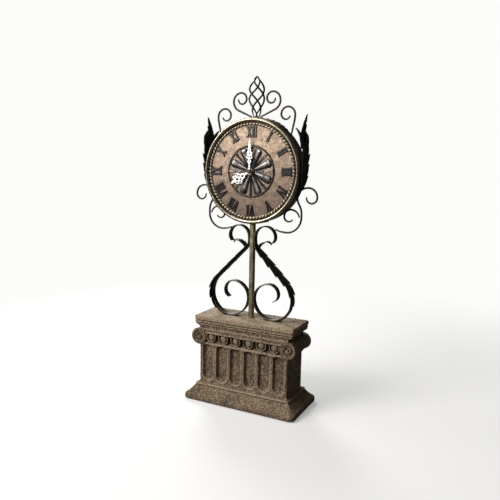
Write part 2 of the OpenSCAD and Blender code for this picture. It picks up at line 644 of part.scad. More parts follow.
// Drawing ---------------------------------------------------------------------------------
pedestal();
foot_pads();
tie_bolt();
tie_washer();
post();
post_saddle();
saddle_rivets();
lyre_scroll_right();
lyre_scroll_left();
lyre_leaf_right();
lyre_leaf_left();
side_leaf_right();
side_leaf_left();
side_scroll_right();
side_scroll_left();
side_curl_right();
side_curl_left();
top_strap();
finial_collar();
finial_wire_1();
finial_wire_2();
finial_wire_3();
finial_wire_4();
finial_tip();
top_curl_right();
top_curl_left();
shoulder_curl_right();
shoulder_curl_left();
drum_shell();
bezel();
rope_ring();
dial_plate();
numerals();
inner_ring();
rosette();
back_plate();
back_screws();
movement_case();
movement_cover();
train_plate();
circuit_board();
coil();
battery();
battery_contacts();
dial_washer();
fixing_nut();
minute_arbor();
minute_hand();
cap_nut();
hour_wheel();
hour_hand();
minute_wheel();
setting_knob();
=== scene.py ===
import json
import math

import bmesh
import bpy
from mathutils import Matrix, Vector, noise


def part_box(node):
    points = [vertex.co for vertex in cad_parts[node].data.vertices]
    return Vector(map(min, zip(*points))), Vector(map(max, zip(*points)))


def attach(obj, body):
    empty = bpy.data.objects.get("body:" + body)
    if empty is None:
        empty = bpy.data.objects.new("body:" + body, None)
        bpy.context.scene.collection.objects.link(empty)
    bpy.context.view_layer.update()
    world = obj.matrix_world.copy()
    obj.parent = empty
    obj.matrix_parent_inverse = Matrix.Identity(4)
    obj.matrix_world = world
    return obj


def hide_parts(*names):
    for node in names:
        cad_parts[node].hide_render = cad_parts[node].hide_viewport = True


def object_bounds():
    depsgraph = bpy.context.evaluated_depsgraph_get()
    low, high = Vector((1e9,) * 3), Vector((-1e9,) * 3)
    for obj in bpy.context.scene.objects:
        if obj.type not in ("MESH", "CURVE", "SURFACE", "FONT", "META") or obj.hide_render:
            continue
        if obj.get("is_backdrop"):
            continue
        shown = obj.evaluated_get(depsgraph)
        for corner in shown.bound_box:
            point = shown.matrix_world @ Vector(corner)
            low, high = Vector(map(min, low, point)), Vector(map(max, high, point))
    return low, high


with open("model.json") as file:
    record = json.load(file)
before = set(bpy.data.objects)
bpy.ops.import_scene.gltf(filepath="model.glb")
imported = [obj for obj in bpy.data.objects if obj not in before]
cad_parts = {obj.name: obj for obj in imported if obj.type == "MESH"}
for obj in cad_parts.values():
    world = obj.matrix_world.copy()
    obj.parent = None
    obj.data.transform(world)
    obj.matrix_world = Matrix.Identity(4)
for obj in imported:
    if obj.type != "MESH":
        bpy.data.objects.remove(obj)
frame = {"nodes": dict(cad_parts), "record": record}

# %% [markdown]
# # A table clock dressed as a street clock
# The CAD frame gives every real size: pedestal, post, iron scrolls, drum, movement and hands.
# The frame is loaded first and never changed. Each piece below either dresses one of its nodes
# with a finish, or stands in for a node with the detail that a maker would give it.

MM = 0.001
CAD_BOX = [list(corner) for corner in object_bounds()]
NODES = frame["nodes"]
dial_low, dial_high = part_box("dial_plate")
AXIS_Z = (dial_low.z + dial_high.z) / 2 / MM
DIAL_Y = dial_low.y / MM
print("The clock stands", round(CAD_BOX[1][2] / MM), "mm tall; its hands turn at", round(AXIS_Z, 1))

# %% [markdown]
# ## Camera
# The clock is seen from a little above and from the +X side, close by and on an ordinary lens, so
# its near parts look larger. The camera could be aimed with a constraint, but three angles and a
# distance say exactly where it stands.

# %% The camera
VIEW_TURN, VIEW_DROP, VIEW_TILT = (math.radians(angle) for angle in (26.8, 8.36, 1.03))
VIEW_DISTANCE = 0.8679
VIEW_TARGET = Vector((-0.0043, 0, 0.2487))
LENS = 39.3

camera_data = bpy.data.cameras.new("view")
camera_data.lens = LENS
camera = bpy.data.objects.new("view", camera_data)
bpy.context.scene.collection.objects.link(camera)
look = Matrix.Rotation(VIEW_TURN, 4, "Z") @ Matrix.Rotation(math.pi / 2 - VIEW_DROP, 4, "X")
camera.matrix_world = (
    Matrix.Translation(VIEW_TARGET)
    @ look
    @ Matrix.Translation((0, 0, VIEW_DISTANCE))
    @ Matrix.Rotation(VIEW_TILT, 4, "Z")
)
bpy.context.scene.camera = camera
print("Camera at", [round(c, 3) for c in camera.matrix_world.translation])

# %% [markdown]
# ## How a finish is mixed
# Every finish is one Principled shader fed by noise. Painting textures by hand would need UV maps
# on fifty parts; noise read in object space needs none and keeps its scale from part to part.
# A few short helpers keep each finish, the floor and the room to a handful of lines.

# %% Nodes, noise and places
FINISHES = {}


def add(tree, kind, values=None, **settings):
    """A shader node; a value that is a socket is linked, any other is set."""
    node = tree.nodes.new("ShaderNode" + kind)
    for name, value in settings.items():
        setattr(node, name, value)
    for socket, value in (values or {}).items():
        if isinstance(value, bpy.types.NodeSocket):
            tree.links.new(value, node.inputs[socket])
        else:
            node.inputs[socket].default_value = value
    return node


def cloud(tree, per_mm, detail, stretch=(1, 1, 1), rough=0.55):
    """Noise with per_mm lumps to the millimetre, stretched along X, Y or Z, as a value from 0 to 1."""
    place = add(tree, "TexCoord").outputs["Object"]
    size = Vector(stretch) * per_mm / MM
    place = add(tree, "Mapping", {"Vector": place, "Scale": size}).outputs["Vector"]
    values = {"Vector": place, "Scale": 1, "Detail": detail, "Roughness": rough}
    return add(tree, "TexNoise", values).outputs["Fac"]


def hollow_shade(tree, reach_mm):
    """1 in the open and towards 0 in corners and hollows, from rays of a given reach: the mask for painted
    shade.
    """
    node = add(tree, "AmbientOcclusion", {"Distance": reach_mm * MM}, samples=8)
    return node.outputs["AO"]


def wear_and_highlight_share(tree):
    """The share of bare metal that a maker painted on each corner of the mesh, where it has one: wax wear,
    and painted highlight on some edges and ridges.
    """
    return add(tree, "Attribute", attribute_name="wear_and_highlight").outputs["Fac"]


# %% Colour, arithmetic and relief


def ramp(tree, value, stops):
    """Turns a value into a colour by (position, red, green, blue) stops."""
    node = add(tree, "ValToRGB", {"Fac": value})
    while len(node.color_ramp.elements) < len(stops):
        node.color_ramp.elements.new(0.5)
    for element, (position, red, green, blue) in zip(node.color_ramp.elements, stops):
        element.position = position
        element.color = (red, green, blue, 1)
    return node.outputs["Color"]


def fade(tree, value, low, high, out_low=0, out_high=1):
    """Rescales a value smoothly, so that low becomes out_low and high becomes out_high."""
    values = {"Value": value, "From Min": low, "From Max": high, "To Min": out_low, "To Max": out_high}
    return add(tree, "MapRange", values, interpolation_type="SMOOTHSTEP").outputs["Result"]


def between(tree, share, first, second):
    """Mixes two colours by a share."""
    return add(tree, "MixRGB", {"Fac": share, "Color1": first, "Color2": second}).outputs["Color"]


def sums(tree, kind, first, second):
    """One step of arithmetic on two values."""
    return add(tree, "Math", {0: first, 1: second}, operation=kind).outputs["Value"]


def finish(name, metal=0.0):
    """The node tree and the shader of a new material, which is metal to the same degree all over."""
    material = bpy.data.materials.new(name)
    material.use_nodes = True
    shader = material.node_tree.nodes["Principled BSDF"]
    shader.inputs["Metallic"].default_value = metal
    FINISHES[name] = material
    return material.node_tree, shader


def dress(tree, shader, colour, gloss, height, depth_mm):
    """Plugs a colour, a roughness and a relief of that depth into the shader."""
    tree.links.new(colour, shader.inputs["Base Color"])
    tree.links.new(gloss, shader.inputs["Roughness"])
    bump = add(tree, "Bump", {"Height": height, "Distance": depth_mm * MM})
    tree.links.new(bump.outputs["Normal"], shader.inputs["Normal"])


# %% [markdown]
# ## Light
# One large soft lamp stands in front and to the left, where the flat metal faces mirror it back to
# the camera, so copper and silver glow. A narrow lamp behind draws the rims, and one above opens the
# shadows. A sun would do for the first, but its edge is too hard for a studio.

# %% Lamps


def lamp(name, place, size, power, tint=(1, 1, 1)):
    """A square soft lamp that faces the middle of the clock."""
    data = bpy.data.lights.new(name, "AREA")
    data.size = size
    data.energy = power
    data.color = tint
    light = bpy.data.objects.new(name, data)
    light.location = place
    light.rotation_euler = (VIEW_TARGET - Vector(place)).to_track_quat("-Z", "Y").to_euler()
    bpy.context.scene.collection.objects.link(light)


lamp("key", (-0.95, -1.35, 1.05), 1.0, 37, (1, 0.965, 0.92))
lamp("rim", (-0.8, 0.95, 0.9), 0.5, 14)
lamp("top", (-0.6, -0.3, 1.9), 0.8, 12)
print(len(bpy.data.lights), "lamps")

# %% [markdown]
# ## Floor and room
# A pale floor runs out to a pale room. The floor fades into the room's own colour a little way off,
# so no line shows where it ends. Both look bright to the camera, but they give the clock less light
# than they seem to: a Light Path node tells the two uses apart, and the right side stays in shade.

# %% The floor
FLOOR_SIZE = 30
FLOOR_NEAR, FLOOR_FAR, FLOOR_LIFT = 0.3, 1.05, 0.33
FLOOR_PALE = (0.86, 0.86, 0.85, 1)
FLOOR_SHADE = (0.12, 0.115, 0.11, 1)
ROOM_SEEN = (0.975, 0.975, 0.965, 1)

floor_mesh = bpy.data.meshes.new("floor")
half = FLOOR_SIZE / 2
corners = [(-half, -half, 0), (half, -half, 0), (half, half, 0), (-half, half, 0)]
floor_mesh.from_pydata(corners, [], [(0, 1, 2, 3)])
floor = bpy.data.objects.new("floor", floor_mesh)
bpy.context.scene.collection.objects.link(floor)
floor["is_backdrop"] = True

tree, shader = finish("floor_paint")
shader.inputs["Base Color"].default_value = FLOOR_PALE
shader.inputs["Roughness"].default_value = 0.9
shader.inputs["Specular IOR Level"].default_value = 0.1
reach = add(tree, "VectorMath", {0: add(tree, "TexCoord").outputs["Object"]}, operation="LENGTH")
distance = fade(tree, reach.outputs["Value"], FLOOR_NEAR, FLOOR_FAR, FLOOR_LIFT)
glow = add(tree, "Emission", {"Color": ROOM_SEEN}).outputs["Emission"]
bright = add(tree, "MixShader", {"Fac": distance, 1: shader.outputs["BSDF"], 2: glow}).outputs["Shader"]
dim = add(tree, "BsdfDiffuse", {"Color": FLOOR_SHADE}).outputs["BSDF"]
seen = add(tree, "LightPath").outputs["Is Camera Ray"]
either = add(tree, "MixShader", {"Fac": seen, 1: dim, 2: bright}).outputs["Shader"]
tree.links.new(either, tree.nodes["Material Output"].inputs["Surface"])
floor_mesh.materials.append(FINISHES["floor_paint"])

# %% The room
ROOM_GLOW = 0.085
ROOM_LIGHT = (1, 0.985, 0.96, 1)

room = bpy.data.worlds.new("room")
room.use_nodes = True
tree = room.node_tree
dim = tree.nodes["Background"]
dim.inputs["Color"].default_value = ROOM_LIGHT
dim.inputs["Strength"].default_value = ROOM_GLOW
bright = add(tree, "Background", {"Color": ROOM_SEEN}).outputs["Background"]
seen = add(tree, "LightPath").outputs["Is Camera Ray"]
either = add(tree, "MixShader", {"Fac": seen, 1: dim.outputs["Background"], 2: bright}).outputs["Shader"]
tree.links.new(either, tree.nodes["World Output"].inputs["Surface"])
bpy.context.scene.world = room
bpy.context.scene.view_settings.view_transform = "Standard"
print("Floor and room are mixed; the room gives", ROOM_GLOW, "of its full light")

# %% [markdown]
# ## Cast stone
# The pedestal is resin and sand, tinted brown and given a dark wash in patches. The hollows, which an
# occlusion node finds, are darkened almost to black as painted shade, and grains of light and dark sand lie
# all over it.

# %% Cast stone
WASH, BLACK_SAND, HOLLOW_SHADE = (0.02, 0.012, 0.006, 1), (0.02, 0.013, 0.008, 1), (0.01, 0.007, 0.004, 1)
PALE_LUMP, PALE_SAND, WORN_EDGE = (0.4, 0.305, 0.2, 1), (0.6, 0.48, 0.33, 1), (0.54, 0.42, 0.28, 1)
BROWNS = [(0.3, 0.085, 0.055, 0.032), (0.52, 0.155, 0.104, 0.06), (0.72, 0.26, 0.183, 0.112)]

tree, shader = finish("cast_stone")
patches = cloud(tree, 0.035, 3)
lumps = cloud(tree, 0.34, 3, rough=0.62)
grains = cloud(tree, 1.0, 2, rough=0.7)
sand = cloud(tree, 1.1, 3, rough=0.8)
tint = ramp(tree, patches, BROWNS)
tint = between(tree, fade(tree, lumps, 0.5, 0.38, 0, 0.75), tint, WASH)
tint = between(tree, fade(tree, lumps, 0.52, 0.64, 0, 0.7), tint, PALE_LUMP)
tint = between(tree, fade(tree, grains, 0.45, 0.34, 0, 0.85), tint, BLACK_SAND)
tint = between(tree, fade(tree, sand, 0.56, 0.64, 0, 0.85), tint, PALE_SAND)
edge_wear = sums(tree, "MULTIPLY", wear_and_highlight_share(tree), fade(tree, lumps, 0.36, 0.5))
tint = between(tree, edge_wear, tint, WORN_EDGE)
# Painted shade: corners and hollows found by the occlusion node go almost black.
open_air = fade(tree, hollow_shade(tree, 5), 0.2, 0.9)
tint = between(tree, open_air, HOLLOW_SHADE, tint)
height = sums(tree, "ADD", sums(tree, "MULTIPLY", lumps, 1.6), grains)
dress(tree, shader, tint, fade(tree, sand, 0.3, 0.7, 0.95, 0.75), height, 0.9)

# %% [markdown]
# ## Metals
# Iron scrolls are painted black, then waxed gold on the edges that a hand touches, and painted highlight
# lies on their front edges. The bronze, brass and copper pieces share one recipe: a clean metal, a dark
# tarnish that gathers in patches, painted shade in the hollows, and a hammered or brushed relief.
# A helper mixes them from a few choices.

# %% Recipes for metals
FINE_PER_MM, FINE_SHARE = 0.4, 0.35
HAZE = (0.05, 0.042, 0.03, 1)


def metal(name, bright, dull, patch_per_mm, tarnish=(0.35, 0.7), gloss=(0.28, 0.5), depth_mm=0.08,
          stretch=(1, 1, 1), hollow_mm=1.5):
    """A metal whose bright face gives way to a dull one in patches, with painted shade near black in its
    hollows.
    """
    tree, shader = finish(name, metal=1.0)
    patches = cloud(tree, patch_per_mm, 5)
    fine = cloud(tree, FINE_PER_MM, 4, stretch)
    mottle = sums(tree, "ADD", patches, sums(tree, "MULTIPLY", fine, FINE_SHARE))
    worn = fade(tree, mottle, tarnish[0], tarnish[1] + FINE_SHARE)
    colour = between(tree, worn, (*dull, 1), (*bright, 1))
    # Painted shade: hollows found by the occlusion node go almost black.
    clear = fade(tree, hollow_shade(tree, hollow_mm), 0.3, 0.95)
    colour = between(tree, clear, tuple(c * 0.12 for c in dull) + (1,), colour)
    dress(tree, shader, colour, fade(tree, fine, 0.25, 0.75, gloss[1], gloss[0]), fine, depth_mm)


def waxed_iron(name, wax, paint=(0.012, 0.011, 0.010), metal_share=0.55, gloss=(0.55, 0.36),
               worn_per_mm=0.6):
    """Black paint with wax where the mesh carries a wear and highlight value, so the wax colour shows wear
    and also painted highlight.
    """
    tree, shader = finish(name, metal=metal_share)
    mottle = cloud(tree, worn_per_mm, 4)
    share = sums(tree, "MULTIPLY", wear_and_highlight_share(tree), fade(tree, mottle, 0.32, 0.6))
    dusty = fade(tree, cloud(tree, 0.09, 3), 0.45, 0.75, 0, 0.5)
    colour = between(tree, share, between(tree, dusty, (*paint, 1), HAZE), (*wax, 1))
    dress(tree, shader, colour, fade(tree, mottle, 0.3, 0.7, *gloss), mottle, 0.08)


# %% The dial: sanded copper gone brown, freckled all over, with painted shade towards its foot and in its hollows
COPPERS = [(0.3, 0.22, 0.16, 0.125), (0.5, 0.34, 0.255, 0.19), (0.7, 0.46, 0.36, 0.265)]
DARK_FRECKLE, BRIGHT_FRECKLE = (0.1, 0.07, 0.055, 1), (0.75, 0.6, 0.44, 1)
FOOT_SHADE, DIAL_HOLLOW_SHADE = (0.075, 0.055, 0.05, 1), (0.03, 0.02, 0.015, 1)

tree, shader = finish("dial_copper", metal=0.9)
freckles = cloud(tree, 0.75, 4, rough=0.75)
colour = ramp(tree, cloud(tree, 0.12, 4), COPPERS)
colour = between(tree, fade(tree, freckles, 0.49, 0.38, 0, 0.75), colour, DARK_FRECKLE)
colour = between(tree, fade(tree, freckles, 0.55, 0.66, 0, 0.6), colour, BRIGHT_FRECKLE)
place = add(tree, "SeparateXYZ", {"Vector": add(tree, "TexCoord").outputs["Object"]})
# Painted shade: the lower part of the dial is darkened.
foot = fade(tree, place.outputs["Z"], (AXIS_Z - 75) * MM, (AXIS_Z + 60) * MM, 0.6, 0)
colour = between(tree, foot, colour, FOOT_SHADE)
# Painted shade in the dial's hollows, found by the occlusion node.
colour = between(tree, fade(tree, hollow_shade(tree, 4), 0.35, 0.95), DIAL_HOLLOW_SHADE, colour)
dress(tree, shader, colour, fade(tree, freckles, 0.3, 0.7, 0.6, 0.42), freckles, 0.25)

# %% The other metals
waxed_iron("black_iron", (0.17, 0.14, 0.08))
waxed_iron("rope_bronze", (0.66, 0.57, 0.42), (0.012, 0.01, 0.008))
waxed_iron("pewter", (0.55, 0.55, 0.54), (0.035, 0.035, 0.037), 0.9, (0.34, 0.22), 0.12)
metal("antique_bronze", (0.55, 0.5, 0.31), (0.17, 0.16, 0.1), 0.09, depth_mm=0.12, stretch=(1, 1, 0.2))
metal("drum_bronze", (0.14, 0.11, 0.075), (0.03, 0.024, 0.019), 0.04, gloss=(0.38, 0.6))
metal("bezel_brass", (0.52, 0.47, 0.35), (0.17, 0.145, 0.1), 0.06, gloss=(0.22, 0.42))
metal("zinc_steel", (0.6, 0.6, 0.58), (0.3, 0.3, 0.29), 0.3)
metal("gear_brass", (0.75, 0.56, 0.25), (0.45, 0.33, 0.15), 0.3, depth_mm=0.02)
metal("coil_copper", (0.75, 0.34, 0.16), (0.4, 0.16, 0.08), 0.3, stretch=(0.05, 0.05, 9))
metal("battery_shell", (0.62, 0.63, 0.64), (0.36, 0.36, 0.37), 0.1, depth_mm=0.02)
metal("contact_steel", (0.68, 0.66, 0.6), (0.4, 0.39, 0.35), 0.4, depth_mm=0.02)
metal("hand_silver", (0.74, 0.735, 0.72), (0.45, 0.44, 0.42), 0.3, tarnish=(0.1, 0.35),
      gloss=(0.3, 0.42), depth_mm=0.02, hollow_mm=0.2)
metal("cap_bronze", (0.16, 0.09, 0.055), (0.045, 0.025, 0.018), 0.3, gloss=(0.3, 0.45))

# %% [markdown]
# ## Plastics, board, felt and rubber
# Behind the drum is an ordinary battery movement. Moulded plastic has a fine spark-eroded grain and
# a faint sheen; felt and rubber are soft and rough. One recipe serves them all.

# %% Plastics and soft parts


def moulding(name, base, spread, grain_per_mm, gloss, depth_mm):
    """A moulded or pressed material with a little colour drift and a fine grain."""
    tree, shader = finish(name)
    drift = cloud(tree, 0.05, 3)
    grain = cloud(tree, grain_per_mm, 2)
    light = tuple(min(1, c * (1 + spread)) for c in base) + (1,)
    dark = tuple(c * (1 - spread) for c in base) + (1,)
    colour = between(tree, fade(tree, drift, 0.35, 0.65), dark, light)
    colour = between(tree, fade(tree, grain, 0.62, 0.75, 0, 0.3), colour, light)
    dress(tree, shader, colour, fade(tree, grain, 0.3, 0.7, *gloss), grain, depth_mm)


moulding("movement_plastic", (0.018, 0.018, 0.019), 0.3, 3.0, (0.42, 0.58), 0.03)
moulding("gear_plastic", (0.75, 0.73, 0.66), 0.08, 2.0, (0.35, 0.5), 0.02)
moulding("board_green", (0.02, 0.11, 0.045), 0.3, 1.2, (0.3, 0.45), 0.02)
moulding("felt_pad", (0.045, 0.042, 0.04), 0.4, 4.0, (0.95, 1.0), 0.25)
moulding("rubber_seal", (0.02, 0.02, 0.02), 0.3, 1.5, (0.7, 0.85), 0.04)
print(len(FINISHES), "finishes mixed, the floor's among them")

# %% [markdown]
# ## Dressing the frame
# The record says which finish each node takes, so no node is ever left bare. Nodes that get a
# finer stand-in later are hidden by it. The fixing nut is the one exception to the record: it shows
# at the middle of the dial, where it has the dark bronze of the cap.

# %% Every node takes the finish of its slot
slot_of = {part["node"]: part["material_slot"] for part in frame["record"]["subparts"]}
for node_name, node in NODES.items():
    node.data.materials.clear()
    node.data.materials.append(FINISHES[slot_of[node_name]])
NODES["fixing_nut"].data.materials[0] = FINISHES["cap_bronze"]
print(len(NODES), "nodes dressed")

# %% [markdown]
# ## How a shape is made
# Most pieces here are skins: rings of points, each joined to the next, with a lid at each end. A
# ring that follows a bent line makes a wire or a bar, and a ring that climbs makes a moulding or a
# turned piece. Sizes are in millimetres up to the moment that the mesh is made.

# %% Outlines, skins and grids


def around(steps, shift=0):
    """Angles all the way round, evenly spaced; shift is a part of one step."""
    return [2 * math.pi * (k + shift) / steps for k in range(steps)]


def squared(angle, power_across, power_along):
    """A point on a square with round corners, which get sharper as the powers get smaller."""
    across, along = math.cos(angle), math.sin(angle)
    return (math.copysign(abs(across) ** power_across, across),
            math.copysign(abs(along) ** power_along, along))


def skin(rings):
    """Vertices and faces of a closed skin over rings that all have the same number of points."""
    count = len(rings[0])
    points = [point for ring in rings for point in ring]
    faces = []
    for row in range(len(rings) - 1):
        low, high = row * count, (row + 1) * count
        for k in range(count):
            after = (k + 1) % count
            faces.append((low + k, low + after, high + after, high + k))
    faces.append(tuple(range(count))[::-1])
    faces.append(tuple(range((len(rings) - 1) * count, len(rings) * count)))
    return points, faces


def grid_faces(rows, columns):
    """Faces of a sheet whose points run along one row after another."""
    faces = []
    for row in range(rows - 1):
        for column in range(columns - 1):
            at = row * columns + column
            faces.append((at, at + 1, at + columns + 1, at + columns))
    return faces


def mirrored(parts):
    """The same parts seen in a mirror on the X = 0 plane."""
    flipped = []
    for part in parts:
        points = [(-point[0], point[1], point[2]) for point in part[0]]
        flipped.append((points, [face[::-1] for face in part[1]], *part[2:]))
    return flipped


# %% From shapes to a piece of the clock


def piece(name, slot, parts, stands_for, body="root", smooth=40, thick=None):
    """One object from (points, faces, wear and highlight values) parts, riding on a body in place of its
    CAD nodes.
    """
    mesh = bpy.data.meshes.new(name)
    points, faces, wear_and_highlights = [], [], []
    for part in parts:
        first = len(points)
        points += part[0]
        faces += [tuple(k + first for k in face) for face in part[1]]
        wear_and_highlights += part[2] if len(part) > 2 else [0.0] * len(part[0])
    mesh.from_pydata([Vector(point) * MM for point in points], [], faces)
    mesh.attributes.new("wear_and_highlight", "FLOAT", "POINT").data.foreach_set("value", wear_and_highlights)
    made = bpy.data.objects.new(name, mesh)
    bpy.context.scene.collection.objects.link(made)
    if thick:
        wall = made.modifiers.new("wall", "SOLIDIFY")
        wall.thickness = thick * MM
        wall.offset = 0
        walled = made.evaluated_get(bpy.context.evaluated_depsgraph_get())
        mesh = bpy.data.meshes.new_from_object(walled)
        made.modifiers.clear()
        made.data = mesh
    tidy = bmesh.new()
    tidy.from_mesh(mesh)
    bmesh.ops.recalc_face_normals(tidy, faces=tidy.faces)
    tidy.to_mesh(mesh)
    tidy.free()
    mesh.shade_smooth()
    mesh.set_sharp_from_angle(angle=math.radians(smooth))
    mesh.materials.append(FINISHES[slot])
    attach(made, body)
    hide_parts(*stands_for)
    print(f"{name}: {len(mesh.polygons)} faces")


def iron_pair(name, parts, node, thick=None):
    """An iron piece on the right and its mirror on the left, each in place of its CAD node."""
    piece(f"{name}_right", "black_iron", parts, [f"{node}_right"], thick=thick)
    piece(f"{name}_left", "black_iron", mirrored(parts), [f"{node}_left"], thick=thick)


# %% [markdown]
# ## Pedestal
# The real pedestal is one casting: a plinth that flares out, a fluted die, an egg band between two
# volutes, and a slab. It could be carved from boxes with booleans, but a moulding is by nature one
# profile taken round a rectangle, so that is how it is made: each row is a rounded rectangle at its
# own height, width and depth. Rows and columns are close together where the flutes are, and there
# the points are pushed in.

# %% Profile of the pedestal, from the felt pads to the top of the slab
# Each row is a height, half a width and half a depth
PEDESTAL_ROWS = [
    (1, 96.6, 48.6), (1.6, 97.6, 49.5), (2.8, 98, 49.95), (6.5, 98, 49.95), (8.6, 97.7, 49.6),
    (10.2, 96.4, 48.2), (11.6, 94.4, 46.3), (13.6, 91.9, 43.9), (16, 89.4, 41.4), (18.6, 87.2, 39.2),
    (20.6, 85.7, 37.6),
    (21.9, 84.3, 36.1), (22.5, 82.9, 34.5), (22.9, 83.3, 34.9), (23.6, 84, 35.5), (24.6, 84, 35.5),
    (25.5, 83.5, 35), (26, 82.2, 33.6), (26.5, 80.2, 31.8), (27.4, 79.1, 30.6), (28.6, 78.6, 30.1),
]
FLUTE_ROWS = [(z, 78.5, 30) for z in [29.5 + 1.25 * k for k in range(47)]]
UPPER_ROWS = [
    (89, 78.5, 30), (90, 78.8, 30.3), (90.7, 79.7, 31.2), (91.5, 80.4, 31.9), (92.8, 80.8, 32.3),
    (94.2, 80.8, 32.3), (95.3, 80.3, 31.9), (96, 79.3, 31), (96.6, 77.9, 29), (97.4, 77.4, 28.2),
    (103, 77.4, 28.2), (109.4, 77.4, 28.2),
    (110.1, 77.8, 29), (110.6, 79, 32.6), (111.3, 79.4, 33.5), (112.3, 79.4, 33.5), (112.9, 79.3, 32.7),
    (114, 79.2, 32.2), (116, 79.2, 32.2), (117.2, 79.3, 32.6), (117.9, 79.4, 33.3), (118.7, 79.3, 33.1),
    (119.2, 79.1, 31.6), (120, 79.2, 30.9), (121.2, 79.7, 30.8), (122.6, 81, 31.1), (123.8, 83.2, 31.6),
    (124.8, 85.6, 32.2), (125.4, 86.3, 32.5), (126.4, 86.3, 32.5), (126.8, 85.3, 31.6), (127.4, 85.3, 31.6),
    (127.8, 86.5, 32.6), (129, 86.8, 32.8), (130.6, 86.8, 32.8), (131.1, 85.7, 31.8), (131.8, 85.7, 31.8),
    (132.3, 87.1, 32.9), (133.4, 87.5, 33), (136.8, 87.5, 33), (138.1, 87.2, 32.7), (138.8, 86.5, 32),
    (139, 85.4, 30.9), (139, 60, 22), (139, 30, 11),
]
PROUD_ROWS = [
    (22.8, 25.6), (90.4, 95.6), (110.2, 112.6), (116.8, 119), (124.6, 126.6), (127.8, 130.8),
    (132.2, 139.2),
]
print(len(PEDESTAL_ROWS) + len(FLUTE_ROWS) + len(UPPER_ROWS), "rows from foot to slab")

# %% Flutes, and the rough skin of a casting
FLUTES, FLUTE_PITCH = 6, 25.17
FLUTE_HALF, FLUTE_DEEP, FLUTE_WALL = 9.75, 5, 3
FLUTE_LOW, FLUTE_HIGH, FLUTE_HEAD = 31, 91, 1.6
LIP_PROUD, LIP_WIDE = 0.35, 1.8
FOOT_Z, FOOT_REACH, EDGE_Z, EDGE_REACH = 5, 9, 138.6, 3
WAVES_PER_MM, DENTS_PER_MM, ROCKS_PER_MM, ROCK_SHIFT = 0.16, 0.45, 0.3, 40


def flute_depth(x, z):
    """How far a flute goes in at this place: a round channel with round ends, in a raised lip."""
    nearest = min(max(round(x / FLUTE_PITCH - 0.5), -FLUTES / 2), FLUTES / 2 - 1)
    across = abs(x - (nearest + 0.5) * FLUTE_PITCH)
    past = max(FLUTE_LOW + FLUTE_HALF - z, 0, (z - FLUTE_HIGH + FLUTE_HALF * 0.5) * FLUTE_HEAD)
    inside = FLUTE_HALF - math.hypot(across, past)
    if inside <= 0:
        return -LIP_PROUD * max(0, 1 + inside / LIP_WIDE)
    wall = min(inside / FLUTE_WALL, 1)
    return FLUTE_DEEP * (1 - (1 - wall) ** 2) ** 0.7


def roughness_at(x, y, z):
    """How far the cast surface stands out: softly everywhere, like broken rock at the foot and the top."""
    rock = max(0, 1 - abs(z - FOOT_Z) / FOOT_REACH, 1 - abs(z - EDGE_Z) / EDGE_REACH)
    wave = noise.noise(tuple(c * WAVES_PER_MM for c in (x, y, z)))
    dent = noise.noise(tuple(c * DENTS_PER_MM for c in (x, y, z)))
    lump = noise.noise((x * ROCKS_PER_MM, y * ROCKS_PER_MM, z * ROCKS_PER_MM + ROCK_SHIFT))
    return wave * 0.25 + dent * 0.2 + rock * (lump * 0.9 - 0.2)


def worn(x, z):
    """How far a hand has worn this place: the proud mouldings, and the lips of the flutes."""
    proud = 0.5 if any(low < z < high for low, high in PROUD_ROWS) else 0
    lip = FLUTE_LOW - 2 < z < FLUTE_HIGH and -LIP_PROUD < flute_depth(x, z) < 0
    return max(proud, 0.45 if lip else 0)


# %% One row of the casting
CORNER, PLINTH_CORNER, PLINTH_TOP, PLINTH_BLEND = 1.8, 7, 22, 12
FRONT_STEPS, SIDE_STEPS, CORNER_STEPS = 168, 44, 3
INSET, LEAST_INSET, FACE_POWER = 0.5, 0.05, 7


def rounded_rectangle(half_w, half_d, radius):
    """Points round a rectangle, close together along its front and back."""
    flat_w, flat_d = half_w - radius, half_d - radius
    corners = [((1, -1), -90), ((1, 1), 0), ((-1, 1), 90), ((-1, -1), 180)]
    ring = []
    for k, ((sx, sy), start) in enumerate(corners):
        for step in range(CORNER_STEPS + 1):
            angle = math.radians(start + 90 * step / CORNER_STEPS)
            ring.append((sx * flat_w + radius * math.cos(angle), sy * flat_d + radius * math.sin(angle)))
        sideways = k % 2 == 0
        steps = SIDE_STEPS if sideways else FRONT_STEPS
        here = ring[-1]
        nx, ny = corners[(k + 1) % 4][0]
        there = (sx * half_w, ny * flat_d) if sideways else (nx * flat_w, sy * half_d)
        for step in range(1, steps):
            share = step / steps
            ring.append(tuple(a + (b - a) * share for a, b in zip(here, there)))
    return ring


def frame_ring(z, half_w, half_d):
    """One row of the moulding, pushed in where a flute is and a little uneven all over."""
    blend = min(1, max(0, (PLINTH_TOP - z) / PLINTH_BLEND))
    fluted = FLUTE_LOW - 3 < z < FLUTE_HIGH + 3
    shaped = []
    for x, y in rounded_rectangle(half_w, half_d, CORNER + (PLINTH_CORNER - CORNER) * blend):
        if fluted and abs(y) > half_d - 0.01:
            y -= math.copysign(flute_depth(x, z), y)
        inward = max(LEAST_INSET, INSET - roughness_at(x, y, z))
        toward = Vector(((x / half_w) ** FACE_POWER, (y / half_d) ** FACE_POWER)).normalized()
        shaped.append((x - toward.x * inward, y - toward.y * inward, z))
    return shaped


# %% The moulded body of the casting, with the recess for the tie bolt in its foot
RECESS_R, RECESS_TOP = 12, 15

rings = [frame_ring(*row) for row in PEDESTAL_ROWS + FLUTE_ROWS + UPPER_ROWS]
foot = rings[0]
wear_and_highlights = [0.0] * 2 * len(foot) + [worn(x, z) for ring in rings for x, _, z in ring]
recess = [(RECESS_R * math.cos(a), RECESS_R * math.sin(a)) for a in (math.atan2(y, x) for x, y, _ in foot)]
rings = [[(x, y, RECESS_TOP) for x, y in recess], [(x, y, foot[0][2]) for x, y in recess]] + rings
pedestal_parts = [(*skin(rings), wear_and_highlights)]
print("The casting has", len(wear_and_highlights), "points")

